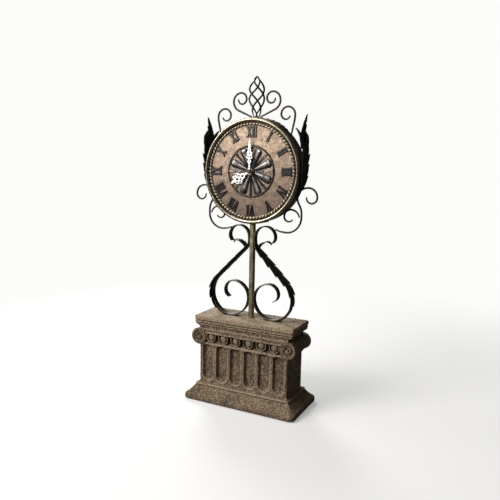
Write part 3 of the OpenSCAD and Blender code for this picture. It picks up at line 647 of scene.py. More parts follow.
# %% [markdown]
# The eggs sit in the band, each in a raised rim shaped like a U, with a dart between neighbours.
# The volutes at the corners are rolls that run through the whole depth, with a spiral cut in each
# end. The spiral is a height over a round grid: a ridge wherever the count of turns is a whole one.

# %% Eggs, rims and darts
EGGS, EGG_PITCH, EGG_Z = 6, 22.4, 104.3
EGG_HALF, EGG_TALL, EGG_TAPER, EGG_ROWS, EGG_SIDES = 5.9, 7, 0.18, 12, 20
BAND_Y, BAND_TOP, BAND_PROUD = 28.2, 110.4, 4.6
RIM_HALF, RIM_FROM, RIM_DEEP, RIM_THICK, RIM_SIDES = 7.8, 105.4, 7.9, 0.9, 10
RIM_LINE = [(-8, BAND_TOP), (-7.9, 108)]
for a in (math.pi * k / 14 for k in range(15)):
    RIM_LINE.append((-RIM_HALF * math.cos(a), RIM_FROM - RIM_DEEP * math.sin(a)))
RIM_LINE += [(7.9, 108), (8, BAND_TOP)]
DART_ROWS = [(BAND_TOP, 1.7, 3.4), (107, 1.5, 3.3), (103, 0.9, 2.6), (98.6, 0.25, 0.6)]


def egg(x, side):
    """A half-sunk egg, narrower at its lower end."""
    rings = []
    for row in range(1, EGG_ROWS):
        angle = math.pi * row / EGG_ROWS
        up = math.cos(angle)
        wide = math.sin(angle) * (1 + EGG_TAPER * up)
        rings.append([(x + EGG_HALF * wide * math.cos(a),
                       side * (BAND_Y + BAND_PROUD * wide * math.sin(a)),
                       EGG_Z + EGG_TALL * up) for a in around(EGG_SIDES)])
    return (*skin(rings), [0.3] * EGG_SIDES * len(rings))


def u_rim(x, side):
    """The raised rim round an egg: a soft strip bent into a U."""
    rings = []
    for k, (u, z) in enumerate(RIM_LINE):
        before, after = RIM_LINE[max(k - 1, 0)], RIM_LINE[min(k + 1, len(RIM_LINE) - 1)]
        along = Vector((after[0] - before[0], after[1] - before[1])).normalized()
        rings.append([(x + u + along.y * RIM_THICK * math.cos(a),
                       side * (BAND_Y + BAND_PROUD * math.sin(a)),
                       z - along.x * RIM_THICK * math.cos(a)) for a in around(RIM_SIDES)])
    return (*skin(rings), [0.9] * RIM_SIDES * len(rings))


def dart(x, side):
    """A pointed tongue that hangs between two rims."""
    rings = []
    for z, wide, proud in DART_ROWS:
        back = side * BAND_Y
        rings.append([(x - wide, back, z), (x, side * (BAND_Y + proud), z), (x + wide, back, z)])
    return skin(rings)


for side in (-1, 1):
    for k in range(EGGS):
        x = (k - (EGGS - 1) / 2) * EGG_PITCH
        pedestal_parts += [egg(x, side), u_rim(x, side)]
    pedestal_parts += [dart((k - EGGS / 2) * EGG_PITCH, side) for k in range(EGGS + 1)]
print(2 * EGGS, "eggs in the two bands")

# %% Volutes
VOLUTE_X, VOLUTE_Z, VOLUTE_R, VOLUTE_Y = 78.3, 104.9, 13.6, 34
GROOVE_START, GROOVE_END, GROOVE_TURNS, GROOVE_HALF, GROOVE_DEEP = 8.6, 2.4, 1.25, 1.3, 2.2
DOME, DOME_REACH, EYE_R, EDGE_R, SPOKES = 0.9, 3, 0.4, 0.5, 96
WAIST, WAIST_HALF, BELT, BELT_HALF = 1.9, 32, 1.5, 4
ROLL_HALF = [0, 1.2, 3.4, 4.4, 6, 12, 20, 27, 31, 32.6, 33.6]


def groove(radius, angle):
    """Depth of the spiral cut, 0 to 1. The angle runs from the top, the way that the roll winds inwards."""
    depth = 0
    for lap in range(2):
        share = (angle / (2 * math.pi) + lap) / GROOVE_TURNS
        if share <= 1:
            off = abs(radius - GROOVE_START - (GROOVE_END - GROOVE_START) * share)
            depth = max(depth, 1 - (off / GROOVE_HALF) ** 2)
    return depth


def end_lift(radius, angle):
    """How far the end of a roll stands out here: a low dome with the spiral cut in."""
    dome = DOME * min(1, (VOLUTE_R - radius) / DOME_REACH) ** 0.5
    return dome - DOME - GROOVE_DEEP * groove(radius, angle)


def volute_end(sign, face):
    """Rings from the eye of the spiral out to the edge of the roll."""
    radii = [EYE_R + (VOLUTE_R - EYE_R - EDGE_R) * step / 24 for step in range(25)]
    return [[(sign * (VOLUTE_X + radius * math.sin(a)),
              face * (VOLUTE_Y - EYE_R + end_lift(radius, a)),
              VOLUTE_Z + radius * math.cos(a)) for a in around(SPOKES)] for radius in radii]


def volute(sign):
    """A roll with a spiral on both ends, a waist and a belt round its middle."""
    sides = []
    for y in [-y for y in ROLL_HALF[:0:-1]] + ROLL_HALF:
        edge = EDGE_R if abs(y) > 33 else 0
        waist = WAIST * (1 - (y / WAIST_HALF) ** 2) if abs(y) < WAIST_HALF else 0
        belt = BELT if abs(y) < BELT_HALF else 0
        radius = VOLUTE_R - edge - waist + belt
        sides.append([(sign * (VOLUTE_X + radius * math.sin(a)), y, VOLUTE_Z + radius * math.cos(a))
                      for a in around(SPOKES)])
    return skin(volute_end(sign, -1) + sides + volute_end(sign, 1)[::-1])


pedestal_parts += [volute(-1), volute(1)]
piece("pedestal_casting", "cast_stone", pedestal_parts, ["pedestal"], smooth=50)

# %% [markdown]
# ## Bent iron
# A smith bends each scroll cold along a drawn line of arcs and straights, so the line is given the
# same way: a start, a heading, and moves. A curve object with handles could follow it, but these
# moves are the very sizes of the CAD frame, and the stand-in then lies exactly where its node is.

# %% A line of moves


def bend(start, heading, moves, spacing=1.1):
    """Stations (x, z, heading) along a run. A move is (radius, turn in degrees), or (0, length)."""
    x, z = start
    heading = math.radians(heading)
    line = [(x, z, heading)]
    for radius, amount in moves:
        turn = math.radians(amount) if radius else 0
        length = abs(radius * turn) if radius else amount
        steps = max(2, round(length / spacing))
        for _ in range(steps):
            if radius:
                reach = radius * math.copysign(1, turn)
                after = heading + turn / steps
                x += reach * (math.sin(after) - math.sin(heading))
                z -= reach * (math.cos(after) - math.cos(heading))
                heading = after
            else:
                x += length / steps * math.cos(heading)
                z += length / steps * math.sin(heading)
            line.append((x, z, heading))
    return line


def turned_back(line):
    """The same line walked the other way."""
    return [(x, z, heading + math.pi) for x, z, heading in line[::-1]]


# %% Bars and wires that follow a line
END_STATIONS, END_THICK, END_DEEP, DIMPLES_PER_MM = 22, 0.55, 1.25, 0.2
WIRE_SIDES, TAPER_STATIONS = 12, 14


def bar(line, thick, deep):
    """A flat bar with rounded edges, hammered thinner and wider towards its ends, gold on its front edge.
    """
    outline = [squared(a, 0.45, 0.3) for a in around(16, 0.5)]
    rings, wear_and_highlights = [], []
    for k, (x, z, heading) in enumerate(line):
        whole = min(1, (min(k, len(line) - 1 - k) + 1.5) / END_STATIONS)
        hammer = 1 + 0.05 * noise.noise((x * DIMPLES_PER_MM, 0, z * DIMPLES_PER_MM))
        ring = []
        for u, v in outline:
            off = u * thick / 2 * (END_THICK + (1 - END_THICK) * whole) * hammer
            y = v * deep / 2 * (END_DEEP - (END_DEEP - 1) * whole)
            ring.append((x - off * math.sin(heading), y, z + off * math.cos(heading)))
            # The front edge takes gold: wax wear and painted highlight.
            wear_and_highlights.append(0.8 if v < -0.93 else 0.06)
        rings.append(ring)
    return (*skin(rings), wear_and_highlights)


def wire(points, radius, taper=0.75):
    """A round wire through 3-D points, with round ends that taper."""
    rings, wear_and_highlights = [], []
    points = [Vector(point) for point in points]
    across = Vector((0, 1, 0))
    for k, point in enumerate(points):
        along = (points[min(k + 1, len(points) - 1)] - points[max(k - 1, 0)]).normalized()
        across = (across - along * across.dot(along)).normalized()
        other = along.cross(across)
        from_end = min(k, len(points) - 1 - k)
        round_off = math.sin(math.acos(max(0, 1 - (from_end + 0.3) / 1.6))) if from_end < 2 else 1
        thick = radius * (taper + (1 - taper) * min(1, from_end / TAPER_STATIONS)) * round_off
        thick *= 1 - 0.05 * abs(noise.noise(point * 0.3))
        rings.append([point + (across * math.cos(a) + other * math.sin(a)) * thick
                      for a in around(WIRE_SIDES)])
        # The front side of each wire takes more gold: painted highlight, with a little wax wear all round.
        wear_and_highlights += [0.38 if math.cos(a) < -0.6 else 0.08 for a in around(WIRE_SIDES)]
    return (*skin(rings), wear_and_highlights)


# %% [markdown]
# ## Post and lyre
# A square post, rubbed to old brass, stands on the slab and carries the drum. On each side a flat
# bar comes off it, slopes out, swings round a wide belly, touches the slab and curls back up.

# %% The post, with soft hammered corners
POST_ROWS = 90
post_low, post_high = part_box("post")
POST_HALF = (post_high.x - post_low.x) / 2 / MM

rings = []
for row in range(POST_ROWS + 1):
    z = (post_low.z + (post_high.z - post_low.z) * row / POST_ROWS) / MM
    ring = []
    for a in around(24, 0.5):
        x, y = squared(a, 0.35, 0.35)
        reach = POST_HALF * (0.98 + 0.03 * noise.noise((math.cos(a), math.sin(a), z * 0.08)))
        ring.append((reach * x, reach * y, z))
    rings.append(ring)
piece("post_bar", "antique_bronze", [skin(rings)], ["post"])

# %% The lyre bars
BAR_THICK, BAR_DEEP = 2.2, 10
NECK = (5.3, AXIS_Z - 107.3)
NECK_ARC, BELLY_ARC, BELLY_R = 22, 38, 34.5
BELLY_Z = 140.3 + BELLY_R
DIAGONAL = math.sin(math.radians(45))
SLOPE = (NECK[1] - BELLY_Z) / DIAGONAL - NECK_ARC - BELLY_ARC
BELLY_X = NECK[0] + (NECK_ARC + BELLY_ARC) * (1 - DIAGONAL) + SLOPE * DIAGONAL
FOOT_R = BELLY_X - BELLY_R - NECK[0]
down = bend(NECK, -90, [(NECK_ARC, 45), (0, SLOPE), (BELLY_ARC, -45), (BELLY_R, -90), (FOOT_R, -90),
                        (26, -90), (16, -90), (12, -70)])
up = bend(NECK, 90, [(0, 5), (18, -90), (16.5, -90), (11, -55)])
lyre_line = turned_back(up)[:-1] + down
iron_pair("lyre_bar", [bar(lyre_line, BAR_THICK, BAR_DEEP)], "lyre_scroll")
lyre_length = sum(math.dist(here[:2], after[:2]) for here, after in zip(lyre_line, lyre_line[1:]))
print("Each lyre bar is bent from", round(lyre_length), "mm of flat bar")

# %% [markdown]
# ## Leaves
# Ragged acanthus leaves are cut from sheet, veined with a chisel, cupped and riveted on. A leaf is
# a grid along a line: its half-width swells and narrows with a saw of teeth, its middle is pushed
# up as a rib, veins run out to the teeth, and the tips of the teeth turn away from what it lies on.
# The wall is added by a Solidify modifier, which is applied.

# %% A leaf along a line
LEAF_COLUMNS = 17
VEIN_HIGH, MIDRIB_HIGH, MIDRIB_HALF = 0.35, 0.9, 0.16
TIP_FROM = 0.72


def spear(share, widest, at, foot):
    """Half-width of a leaf: foot times its widest where it starts, its widest at a place, then a point."""
    if share < at:
        return widest * (foot + (1 - foot) * math.sin(share / at * math.pi / 2))
    return widest * max(0.04, math.cos((share - at) / (1 - at) * math.pi / 2)) ** 0.8


def leaf(line, y, blade, teeth, lift, cup, flare, depth, lean=0.0, tip_curl=0.0, face=1):
    """A toothed leaf over a flat line, on its left for face 1 and on its right for face -1.

    blade is the widest half-width, the share of the length where it is, and the share of it at the foot.
    """
    points, wear_and_highlights = [], []
    for k, (x, z, heading) in enumerate(line):
        share = k / (len(line) - 1)
        tooth = (share * teeth) % 1
        half = spear(share, *blade) * (1 - depth * (1 - tooth ** 0.7) * min(1, (1 - share) * 6))
        for column in range(LEAF_COLUMNS):
            v = 2 * column / (LEAF_COLUMNS - 1) - 1
            edge = abs(v)
            vein = math.cos(2 * math.pi * (share * teeth + 0.55 * edge)) * VEIN_HIGH * edge
            rise = lift + cup * edge ** 2 * half / 9 + flare * edge ** 3 * tooth ** 2
            rise += vein * (1 - edge * 0.3) + MIDRIB_HIGH * math.exp(-(v / MIDRIB_HALF) ** 2)
            rise += tip_curl * max(0, share - TIP_FROM) ** 2 * 12
            rise *= face
            forward = half * 0.5 * edge ** 2 * tooth
            points.append((x - rise * math.sin(heading) + forward * math.cos(heading),
                           y + v * half + lean * share,
                           z + rise * math.cos(heading) + forward * math.sin(heading)))
            wear_and_highlights.append(min(1, edge ** 8 * 0.25 + 0.15 * math.exp(-(v / 0.1) ** 2)))
    return points, grid_faces(len(line), LEAF_COLUMNS), wear_and_highlights


# %% The leaves on the lyre
leaf_moves = [(NECK_ARC, 45), (0, SLOPE), (BELLY_ARC, -45), (BELLY_R, -75)]
leaf_line = bend(NECK, -90, leaf_moves, spacing=0.7)[10:]
curl_line = bend((NECK[0] + 4.5, NECK[1] - 15), 62, [(0, 6), (16, -60), (6, -80)], spacing=0.6)
lyre_leaves = [
    leaf(leaf_line, -2.5, (14.5, 0.3, 0.7), 8, lift=BAR_THICK / 2 + 0.7, cup=-0.9, flare=0.8, depth=0.5),
    leaf(curl_line, 0, (8, 0.4, 0.6), 3, lift=0.4, cup=-1, flare=1.2, depth=0.3),
]
iron_pair("lyre_acanthus", lyre_leaves, "lyre_leaf", thick=1.1)

# %% The tall leaves beside the drum
DRUM_R = 79.5
MID_Y = 2.25
SIDE_X = DRUM_R + 1.2
tall_moves = [(0, 12), (60, -6), (70, 22), (38, -30), (0, 14), (24, -16)]
tall_line = turned_back(bend((SIDE_X, AXIS_Z), -90, [(SIDE_X, -19)], spacing=0.8))[:-1]
tall_line += bend((SIDE_X, AXIS_Z), 90, tall_moves, spacing=0.8)
lobe_line = bend((SIDE_X + 0.8, AXIS_Z + 34), 92, [(0, 10), (40, 10), (24, 34)], spacing=0.6)
side_leaves = [
    leaf(tall_line, MID_Y, (15, 0.3, 0.6), 7, lift=0.4, cup=1.6, flare=1.2, depth=0.3, face=-1)
]
for lean in (-8, 8):
    side_leaves.append(leaf(lobe_line, MID_Y + lean, (7, 0.3, 0.8), 3, lift=0.2, cup=0.5, flare=0.6,
                            depth=0.2, lean=lean, face=-1))
iron_pair("side_acanthus", side_leaves, "side_leaf", thick=1.6)

# %% [markdown]
# ## Wire scrolls
# Round wire, bent into spirals, is brazed to the drum at its sides, on its shoulders and round the
# foot of the finial. Every spiral is a run of arcs whose radius gets smaller. SEAT is the thin gap
# of the braze, which the CAD frame leaves between pieces that touch.

# %% Side scrolls and the small curls inside them
WIRE_R = 1.6
SEAT = 0.2
FINIAL_Y = MID_Y + 3


def flat_wire(line, y):
    """A wire bent flat, in the plane at y."""
    return wire([(x, y, z) for x, z, _ in line], WIRE_R)


TOUCH_A = 23.5
touch_r = DRUM_R + WIRE_R + SEAT
touch = (touch_r * math.cos(math.radians(TOUCH_A)), AXIS_Z - touch_r * math.sin(math.radians(TOUCH_A)))
to_waist = [(16, 30 + TOUCH_A), (0, 3), (27, -30)]
low_run = bend(touch, -90 - TOUCH_A, to_waist + [(0, 5), (24, -90), (50, -22)])
high_run = bend(touch, 90 - TOUCH_A, [(16, TOUCH_A - 90), (0, 1.5), (14, -90), (9, -90), (8, -100)])
iron_pair("side_scroll_wire", [flat_wire(turned_back(high_run)[:-1] + low_run, MID_Y)], "side_scroll")

waist = bend(touch, -90 - TOUCH_A, to_waist)[-1]
curl = bend((waist[0] - 2 * WIRE_R - SEAT, waist[1] - 5), 100, [(14, 80), (11, 90), (7.5, 150)])
iron_pair("side_curl_wire", [flat_wire(curl, MID_Y)], "side_curl")

# %% Shoulder curls
SHOULDER_A, SHOULDER_LEAN = 48, 36
shoulder_a = math.radians(SHOULDER_A)
shoulder_r = DRUM_R + SEAT + WIRE_R * math.sin(math.radians(SHOULDER_LEAN))
shoulder = (shoulder_r * math.sin(shoulder_a), AXIS_Z + shoulder_r * math.cos(shoulder_a))
shoulder_moves = [(0, 23), (40, 12), (12, 90), (10.5, 90), (8, 90), (6.5, 80)]
curl = bend(shoulder, 90 - SHOULDER_A + SHOULDER_LEAN, shoulder_moves)
iron_pair("shoulder_curl_wire", [flat_wire(curl, MID_Y)], "shoulder_curl")

# %% [markdown]
# ## Finial
# Four wires leave a collar, twist round each other as they swell, and meet in a point. A screw
# modifier gives a plain helix only, so each wire's path is worked out: its radius follows a flame
# shape, and its angle turns steadily.

# %% The basket
collar_low, collar_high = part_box("finial_collar")
_, tip_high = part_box("finial_tip")
BASKET_LOW, BASKET_TOP = collar_high.z / MM - 0.6, tip_high.z / MM - 0.7
BASKET_R, BASKET_FOOT_R, BASKET_TIP_R = 10, 4.6, 0.7
FLAME, BASKET_TURN = 1.35, math.radians(270)


def basket_wire(number):
    """One wire of the basket, from the collar to the point where all four meet."""
    points = []
    for share in (step / 60 for step in range(61)):
        swell = BASKET_R * math.sin(math.pi * share ** FLAME) ** 0.9
        radius = BASKET_FOOT_R * (1 - share) + BASKET_TIP_R * share + swell
        angle = math.radians(45 + 90 * number) - BASKET_TURN * share
        points.append((radius * math.cos(angle), FINIAL_Y + radius * math.sin(angle),
                       BASKET_LOW + (BASKET_TOP - BASKET_LOW) * share))
    return wire(points, WIRE_R * 0.94, taper=0.6)


basket_nodes = [f"finial_wire_{number}" for number in range(1, 5)] + ["finial_tip"]
piece("finial_basket", "black_iron", [basket_wire(k) for k in range(4)], basket_nodes)

# %% Its collar, and the curls beside it
COLLAR_ROWS = [(0, 6.1), (0.3, 6.4), (1.0, 6.2), (1.5, 5.7), (2.1, 5.2), (2.4, 4.6)]
rings = []
for z, radius in COLLAR_ROWS:
    rings.append([(radius * math.cos(a), FINIAL_Y + radius * math.sin(a), collar_low.z / MM + z)
                  for a in around(40)])
collar = (*skin(rings), [0.5] * 40 * len(rings))
piece("finial_foot", "black_iron", [collar], ["finial_collar"])

STEM_LEAN = 24
collar_r = max(radius for _, radius in COLLAR_ROWS)
stem = (collar_r + SEAT + WIRE_R * math.sin(math.radians(STEM_LEAN)), collar_low.z / MM + WIRE_R)
stem_moves = [(0, 26), (15, 66), (13, 90), (9.5, 90), (7.5, 90), (6.5, 100)]
iron_pair("top_curl_wire", [flat_wire(bend(stem, STEM_LEAN, stem_moves), FINIAL_Y)], "top_curl")

# %% The leaf-ended strap over the top of the drum
strap_r = DRUM_R + 0.9
strap_line = bend((0, AXIS_Z + strap_r), 0, [(strap_r, -41)], spacing=0.7)
strap_half = [
    leaf(strap_line, FINIAL_Y, (10, 0.25, 0.9), 5, lift=0.3, cup=0.3, flare=1.6, depth=0.35, tip_curl=0.8)
]
piece("crown_leaf", "black_iron", strap_half + mirrored(strap_half), ["top_strap"], thick=1.2)

# %% [markdown]
# ## Drum front
# A rounded brass bezel holds the dial, and a twisted rope of bronze lies just inside it. Both are a
# section carried round the clock's axis. A torus would do for the bezel, but the rope's section
# swells and shrinks as it goes, so one helper that asks for the section at each angle makes both.

# %% Rings round the axis


def hoop(section, steps):
    """A closed ring round the axis. section(angle) gives its outline as (radius, y, wear and highlight)
    points.
    """
    points, faces, wear_and_highlights = [], [], []
    for k in range(steps):
        angle = 2 * math.pi * k / steps
        outline = section(angle)
        points += [(r * math.sin(angle), y, AXIS_Z + r * math.cos(angle)) for r, y, _ in outline]
        wear_and_highlights += [wear_and_highlight for _, _, wear_and_highlight in outline]
        count = len(outline)
        for j in range(count):
            after, across = (k + 1) % steps * count, (j + 1) % count
            faces.append((k * count + j, k * count + across, after + across, after + j))
    return points, faces, wear_and_highlights


# %% The bezel
NOSE_R, NOSE_MIDDLE = 2.9, 78
BEZEL_UNEVEN = 0.06
bezel_low, bezel_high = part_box("bezel")
BEZEL_OUT, BEZEL_IN = (bezel_high.x - bezel_low.x) / 2 / MM, 75.1
BEZEL_FRONT, BEZEL_BACK = bezel_low.y / MM, bezel_high.y / MM
BEZEL_SECTION = [(BEZEL_OUT, BEZEL_BACK - 0.2), (BEZEL_OUT, BEZEL_BACK - 1.2), (80.1, BEZEL_BACK - 1.9)]
for a in (math.pi * k / 12 for k in range(13)):
    BEZEL_SECTION.append((NOSE_MIDDLE + NOSE_R * math.cos(a), BEZEL_FRONT + 3 - NOSE_R * math.sin(a)))
BEZEL_SECTION += [(BEZEL_IN, BEZEL_BACK - 0.8), (BEZEL_IN + 0.4, BEZEL_BACK)]


def bezel_section(angle):
    """The bezel's outline, very slightly uneven, as spun brass is."""
    off = BEZEL_UNEVEN * noise.noise((math.sin(angle) * 3, math.cos(angle) * 3, 0))
    return [(r + off - BEZEL_UNEVEN, y, 0) for r, y in BEZEL_SECTION]


piece("bezel_ring", "bezel_brass", [hoop(bezel_section, 180)], ["bezel"])

# %% The rope, and the plain ring round the rosette
ROPE_R, ROPE_TUBE, STRANDS, STRAND_SLANT = 71.6, 2.35, 84, 1.1
THINNEST = 0.66
INNER_SECTION = [
    (40, 0), (40, 0.7), (39.7, 1.2), (39.3, 1.3), (38.9, 0.9), (38.6, 0.6), (38.2, 0.9),
    (37.8, 1.2), (37.5, 1.0), (37.4, 0),
]
INNER_LIP = 38.3


def rope_section(angle):
    """A round section that swells with each strand; strands lie aslant, so each point has its own swell."""
    outline = []
    for a in around(12, 0.5):
        strand = abs(math.cos((STRANDS * angle + STRAND_SLANT * a) / 2)) ** 0.7
        reach = ROPE_TUBE * (THINNEST + (1 - THINNEST) * strand)
        y = DIAL_Y - max(reach * math.sin(a), -0.1)
        outline.append((ROPE_R + reach * math.cos(a), y, max(0, 1.7 * strand - 0.7)))
    return outline


# The inner lip of the ring round the rosette is brightened: painted highlight.
inner_outline = [(r, DIAL_Y - up, 0.5 if r < INNER_LIP else 0.05) for r, up in INNER_SECTION]
rope = hoop(rope_section, 12 * STRANDS)
piece("rope_of_bronze", "rope_bronze", [rope], ["rope_ring"], smooth=75)
piece("chapter_ring", "rope_bronze", [hoop(lambda angle: inner_outline, 144)], ["inner_ring"])

# %% [markdown]
# ## Numerals
# Roman numerals stand proud of the dial with bevelled edges and small serifs. A text object with a
# bevel is the quick way, but no common font has such fat, low strokes, so each stroke is a chip: a
# flat outline with a smaller one above it.

# %% Places on the dial, and chips
CHIP_BEVEL = 0.5


def on_dial(along, across, up, turn):
    """A point from how far it lies out along a spoke, across it and up, and the turn of the spoke."""
    return (along * math.sin(turn) + across * math.cos(turn), DIAL_Y - up,
            AXIS_Z + along * math.cos(turn) - across * math.sin(turn))


def inset(outline, amount):
    """A convex outline, counter-clockwise, with every edge moved inwards."""
    moved = []
    count = len(outline)
    for k in range(count):
        before, here, after = outline[k - 1], outline[k], outline[(k + 1) % count]
        first = Vector((here[0] - before[0], here[1] - before[1])).normalized()
        second = Vector((after[0] - here[0], after[1] - here[1])).normalized()
        inward = Vector((-first.y, first.x)) + Vector((-second.y, second.x))
        reach = amount / max(0.35, inward.length_squared / 2)
        moved.append((here[0] + inward.x * reach, here[1] + inward.y * reach))
    return moved


def chip(outline, turn, height):
    """A bevelled low block on the dial. The outline is turned clockwise round the axis by that angle."""
    rings = []
    levels = [(0, -0.1), (0, height - CHIP_BEVEL), (CHIP_BEVEL * 0.45, height - 0.15), (CHIP_BEVEL, height)]
    for amount, up in levels:
        rings.append([on_dial(along, across, up, turn) for across, along in inset(outline, amount)])
    count = len(outline)
    return (*skin(rings), [0.0] * 2 * count + [0.3] * count + [0.03] * count)


# %% Strokes and letters
NUMERALS = ["XII", "I", "II", "III", "IV", "V", "VI", "VII", "VIII", "IX", "X", "XI"]
GLYPH_LOW, GLYPH_HIGH = 51.5, 68
THICK, THIN, ARM = 3.2, 1.9, 2.9
THICK_HIGH, THIN_HIGH, SERIF_HIGH = 1.4, 1.3, 1.25
SERIF, SERIF_I, SERIF_THICK, SERIF_THIN = 0.95, 2.35, 2.2, 1.9
WIDTHS = {"I": 4.2, "V": 9.4, "X": 9.4}


def stroke(x_low, x_high, thick):
    """A stroke from the foot of a letter to its head, flat at both ends."""
    half = thick / 2
    return [(x_low - half, GLYPH_LOW), (x_low + half, GLYPH_LOW),
            (x_high + half, GLYPH_HIGH), (x_high - half, GLYPH_HIGH)]


def serif(x, z, half):
    """A short bar across the end of a stroke, with its height."""
    outline = [(x - half, z - SERIF), (x + half, z - SERIF), (x + half, z + SERIF), (x - half, z + SERIF)]
    return outline, SERIF_HIGH


def letter(kind, x):
    """Outlines of one letter whose middle is at x, each with its height."""
    low, high = GLYPH_LOW + SERIF, GLYPH_HIGH - SERIF
    if kind == "I":
        return [(stroke(x, x, THICK), THICK_HIGH), serif(x, low, SERIF_I), serif(x, high, SERIF_I)]
    tops = [serif(x - ARM, high, SERIF_THICK), serif(x + ARM, high, SERIF_THIN)]
    if kind == "V":
        return [(stroke(x, x - ARM, THICK), THICK_HIGH), (stroke(x, x + ARM, THIN), THIN_HIGH)] + tops
    feet = [serif(x - ARM, low, SERIF_THIN), serif(x + ARM, low, SERIF_THICK)]
    crossed = [(stroke(x + ARM, x - ARM, THICK), THICK_HIGH), (stroke(x - ARM, x + ARM, THIN), THIN_HIGH)]
    return crossed + tops + feet


chips = []
for hour, word in enumerate(NUMERALS):
    x = -sum(WIDTHS[kind] for kind in word) / 2
    for kind in word:
        for outline, height in letter(kind, x + WIDTHS[kind] / 2):
            chips.append(chip(outline, math.radians(30 * hour), height))
        x += WIDTHS[kind]
piece("roman_numerals", "pewter", chips, ["numerals"], smooth=25)

# %% [markdown]
# ## Rosette
# Eight spoon-shaped petals fan out between eight double ribs. A petal is a small grid, round
# across and round at its end, whose edge falls into the dial.

# %% Petals and ribs
PETAL_FROM, PETAL_TO, PETAL_HALF, PETAL_FOOT = 6, 37, 7.4, 0.28
PETAL_HIGH, PETAL_SUNK, ROUND_FROM = 2, 0.15, 0.84
RIB_FROM, RIB_TO, RIB_HALF, RIB_FOOT, RIB_HIGH, RIB_STEPS = 7, 37.2, 2.1, 0.55, 1.55, 12
RIB_RUBS = [0.0] * 3 + [0.6] * 3 + [0.0] * 5 + [0.6] * 3 + [0.0] * 4
HUB_SECTION = [
    (0.2, 1.55), (3.2, 1.55), (4.2, 1.3), (5.0, 1.1), (5.6, 1.4), (6.6, 1.75), (7.6, 1.5), (8, 0.9),
    (8, -0.1), (0.2, -0.1),
]


def petal(turn):
    """One spoon petal as a grid, with its edge sunk a little into the dial."""
    points, wear_and_highlights = [], []
    rows, columns = 25, 13
    for row in range(rows):
        share = row / (rows - 1)
        to_end = max(0, share - ROUND_FROM) / (1 - ROUND_FROM)
        end = math.sqrt(max(0, 1 - to_end ** 2))
        half = PETAL_HALF * (PETAL_FOOT + (1 - PETAL_FOOT) * share ** 0.8) * end + 0.02
        for column in range(columns):
            v = 2 * column / (columns - 1) - 1
            edge = max(abs(v), to_end)
            up = PETAL_HIGH * math.sqrt(max(0, 1 - edge ** 2.4)) * (0.7 + 0.3 * share) - PETAL_SUNK
            points.append(on_dial(PETAL_FROM + (PETAL_TO - PETAL_FROM) * share, v * half, up, turn))
            # The ridge of each petal, brightest towards its tip, is painted highlight on the pewter.
            wear_and_highlights.append(0.1 + 0.6 * share * max(0, 1 - (v / 0.45) ** 2))
    return points, grid_faces(rows, columns), wear_and_highlights


def rib(turn):
    """A straight rib with two round ridges side by side."""
    rings = []
    for step in range(RIB_STEPS + 1):
        share = step / RIB_STEPS
        along = RIB_FROM + (RIB_TO - RIB_FROM) * share
        half = RIB_HALF * (RIB_FOOT + (1 - RIB_FOOT) * share)
        ring = []
        for k in range(17):
            v = 2 * k / 16 - 1
            up = RIB_HIGH * abs(math.sin(math.pi * v)) ** 0.6
            ring.append(on_dial(along, v * half, up, turn))
        rings.append(ring + [on_dial(along, 0, -PETAL_SUNK, turn)])
    return (*skin(rings), RIB_RUBS * len(rings))


hub_outline = [(r, DIAL_Y - up, 0) for r, up in HUB_SECTION]
rosette_parts = [petal(math.radians(22.5 + 45 * k)) for k in range(8)]
rosette_parts += [rib(math.radians(45 * k)) for k in range(8)]
rosette_parts.append(hoop(lambda angle: hub_outline, 48))
piece("rosette_of_petals", "pewter", rosette_parts, ["rosette"])

# %% [markdown]
# ## Hands
# The hands are pierced like lace. A flat curve with smaller loops inside its outline fills itself
# and leaves the holes open, which is far simpler than cutting a mesh, so each hand starts as a
# curve and is then turned into a mesh that stands in the plane of its CAD node.

# %% Loops
LOOP_STEPS = 5


def loop_round(rows):
    """A smooth outline from (distance out, half-width) rows up one side, mirrored down the other."""
    side = []
    for k in range(len(rows) - 1):
        a, b, c, d = (Vector(rows[min(max(j, 0), len(rows) - 1)]) for j in (k - 1, k, k + 1, k + 2))
        for t in (step / LOOP_STEPS for step in range(LOOP_STEPS)):
            swing = (c - a) * t + (2 * a - 5 * b + 4 * c - d) * t * t + (3 * b - a - 3 * c + d) * t ** 3
            side.append(b + 0.5 * swing)
    side.append(Vector(rows[-1]))
    return [(p.y, p.x) for p in side] + [(-p.y, p.x) for p in side[::-1]]


def hole(across, along, wide, tall):
    """An oval hole."""
    return [(across + wide * math.cos(a), along + tall * math.sin(a)) for a in around(20)]


# %% From loops to a hand
HAND_BEVEL = 0.14


def hand(name, node, body, turn, loops):
    """A hand from flat loops in the thickness of its CAD node, turned clockwise from the top."""
    low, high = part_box(node)
    flat = bpy.data.curves.new(name, "CURVE")
    flat.dimensions = "2D"
    flat.fill_mode = "BOTH"
    flat.extrude = (high.y - low.y) / 2 - HAND_BEVEL * MM
    flat.bevel_depth = HAND_BEVEL * MM
    flat.bevel_resolution = 1
    flat.offset = -HAND_BEVEL * MM
    for outline in loops:
        spline = flat.splines.new("POLY")
        spline.points.add(len(outline) - 1)
        for point, (x, z) in zip(spline.points, outline):
            point.co = (x * MM, z * MM, 0, 1)
        spline.use_cyclic_u = True
    drawn = bpy.data.objects.new(name + "_drawn", flat)
    mesh = bpy.data.meshes.new_from_object(drawn)
    bpy.data.objects.remove(drawn)
    stand = Matrix.Rotation(turn, 4, "Y") @ Matrix.Rotation(math.pi / 2, 4, "X")
    place = Matrix.Translation((0, (low.y + high.y) / 2, AXIS_Z * MM)) @ stand
    points = [tuple(place @ vertex.co / MM) for vertex in mesh.vertices]
    faces = [tuple(polygon.vertices) for polygon in mesh.polygons]
    piece(name, "hand_silver", [(points, faces)], [node], body=body, smooth=35)


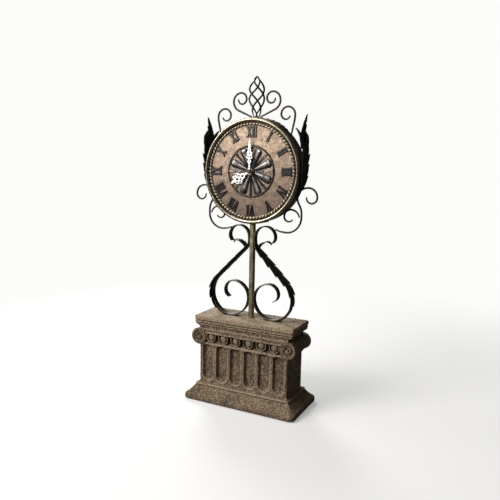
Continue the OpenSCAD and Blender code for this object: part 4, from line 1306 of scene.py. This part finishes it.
# %% The minute hand and the hour hand
minute_rows = [
    (-3.6, 0), (-3.4, 1.6), (-2, 3.1), (0, 3.7), (2, 3.1), (3.8, 1.6), (6, 1.1), (10, 1.15),
    (12.4, 1.4), (13.4, 2.5), (15, 3.1), (16.6, 2.5), (17.8, 1.5), (19, 2.2), (20.4, 4.6),
    (22.2, 4.9), (24, 3.9), (25.6, 4.4), (27.4, 4.9), (29, 4.3), (30.6, 2.6), (32.4, 2.7),
    (34, 2.5), (35.6, 1.3), (37.6, 1.9), (39.4, 1.9), (42, 1.3), (46, 0.75), (49.6, 0.15),
    (49.8, 0),
]
minute_holes = [
    hole(0, 0, 1.5, 1.5), hole(0, 15, 1.1, 1.1), hole(-2.2, 22.2, 1.2, 1.3),
    hole(2.2, 22.2, 1.2, 1.3), hole(0, 27.2, 1.3, 2.1), hole(-3, 27.4, 0.8, 1.1),
    hole(3, 27.4, 0.8, 1.1), hole(0, 32.4, 1, 1.5),
]
hand("minute_hand_lace", "minute_hand", "minute", 0, [loop_round(minute_rows)] + minute_holes)

hour_rows = [
    (-4.6, 0), (-4.4, 2), (-2.6, 3.9), (0, 4.7), (2.6, 3.9), (4.8, 2), (7, 1.4), (9.6, 1.6),
    (11.2, 3.2), (13.2, 4.8), (15.4, 4.5), (17, 5.6), (18.8, 7.4), (21, 8.9), (23.2, 8.7),
    (24.8, 7.2), (26.2, 6.8), (28, 6.6), (29.6, 4.8), (30.8, 2.6), (31.8, 1.6), (33, 2.2),
    (34.6, 1.9), (37, 0.8), (38.9, 0.12), (39, 0),
]
hour_holes = [
    hole(0, 0, 1.9, 1.9), hole(0, 14.4, 1.8, 1.8), hole(-3.1, 19.6, 1.5, 1.8),
    hole(3.1, 19.6, 1.5, 1.8), hole(-6.2, 22.4, 1.2, 1.5), hole(6.2, 22.4, 1.2, 1.5),
    hole(0, 24.6, 1.6, 2.2), hole(-4.1, 26.8, 1.2, 1.4), hole(4.1, 26.8, 1.2, 1.4),
]
hand("hour_hand_lace", "hour_hand", "hour", math.radians(240), [loop_round(hour_rows)] + hour_holes)

# %% [markdown]
# ## Check of the size, and the end
# The dressed clock is compared with the box of the CAD model: both boxes are measured, and the furthest
# point outside it is printed.

# %% Compare the boxes and finish
VISUAL_BOX = [list(corner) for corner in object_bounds()]
below = [cad - visual for cad, visual in zip(CAD_BOX[0], VISUAL_BOX[0])]
above = [visual - cad for cad, visual in zip(CAD_BOX[1], VISUAL_BOX[1])]
print("Furthest point outside the CAD box:", round(max(below + above) / MM, 3), "mm")
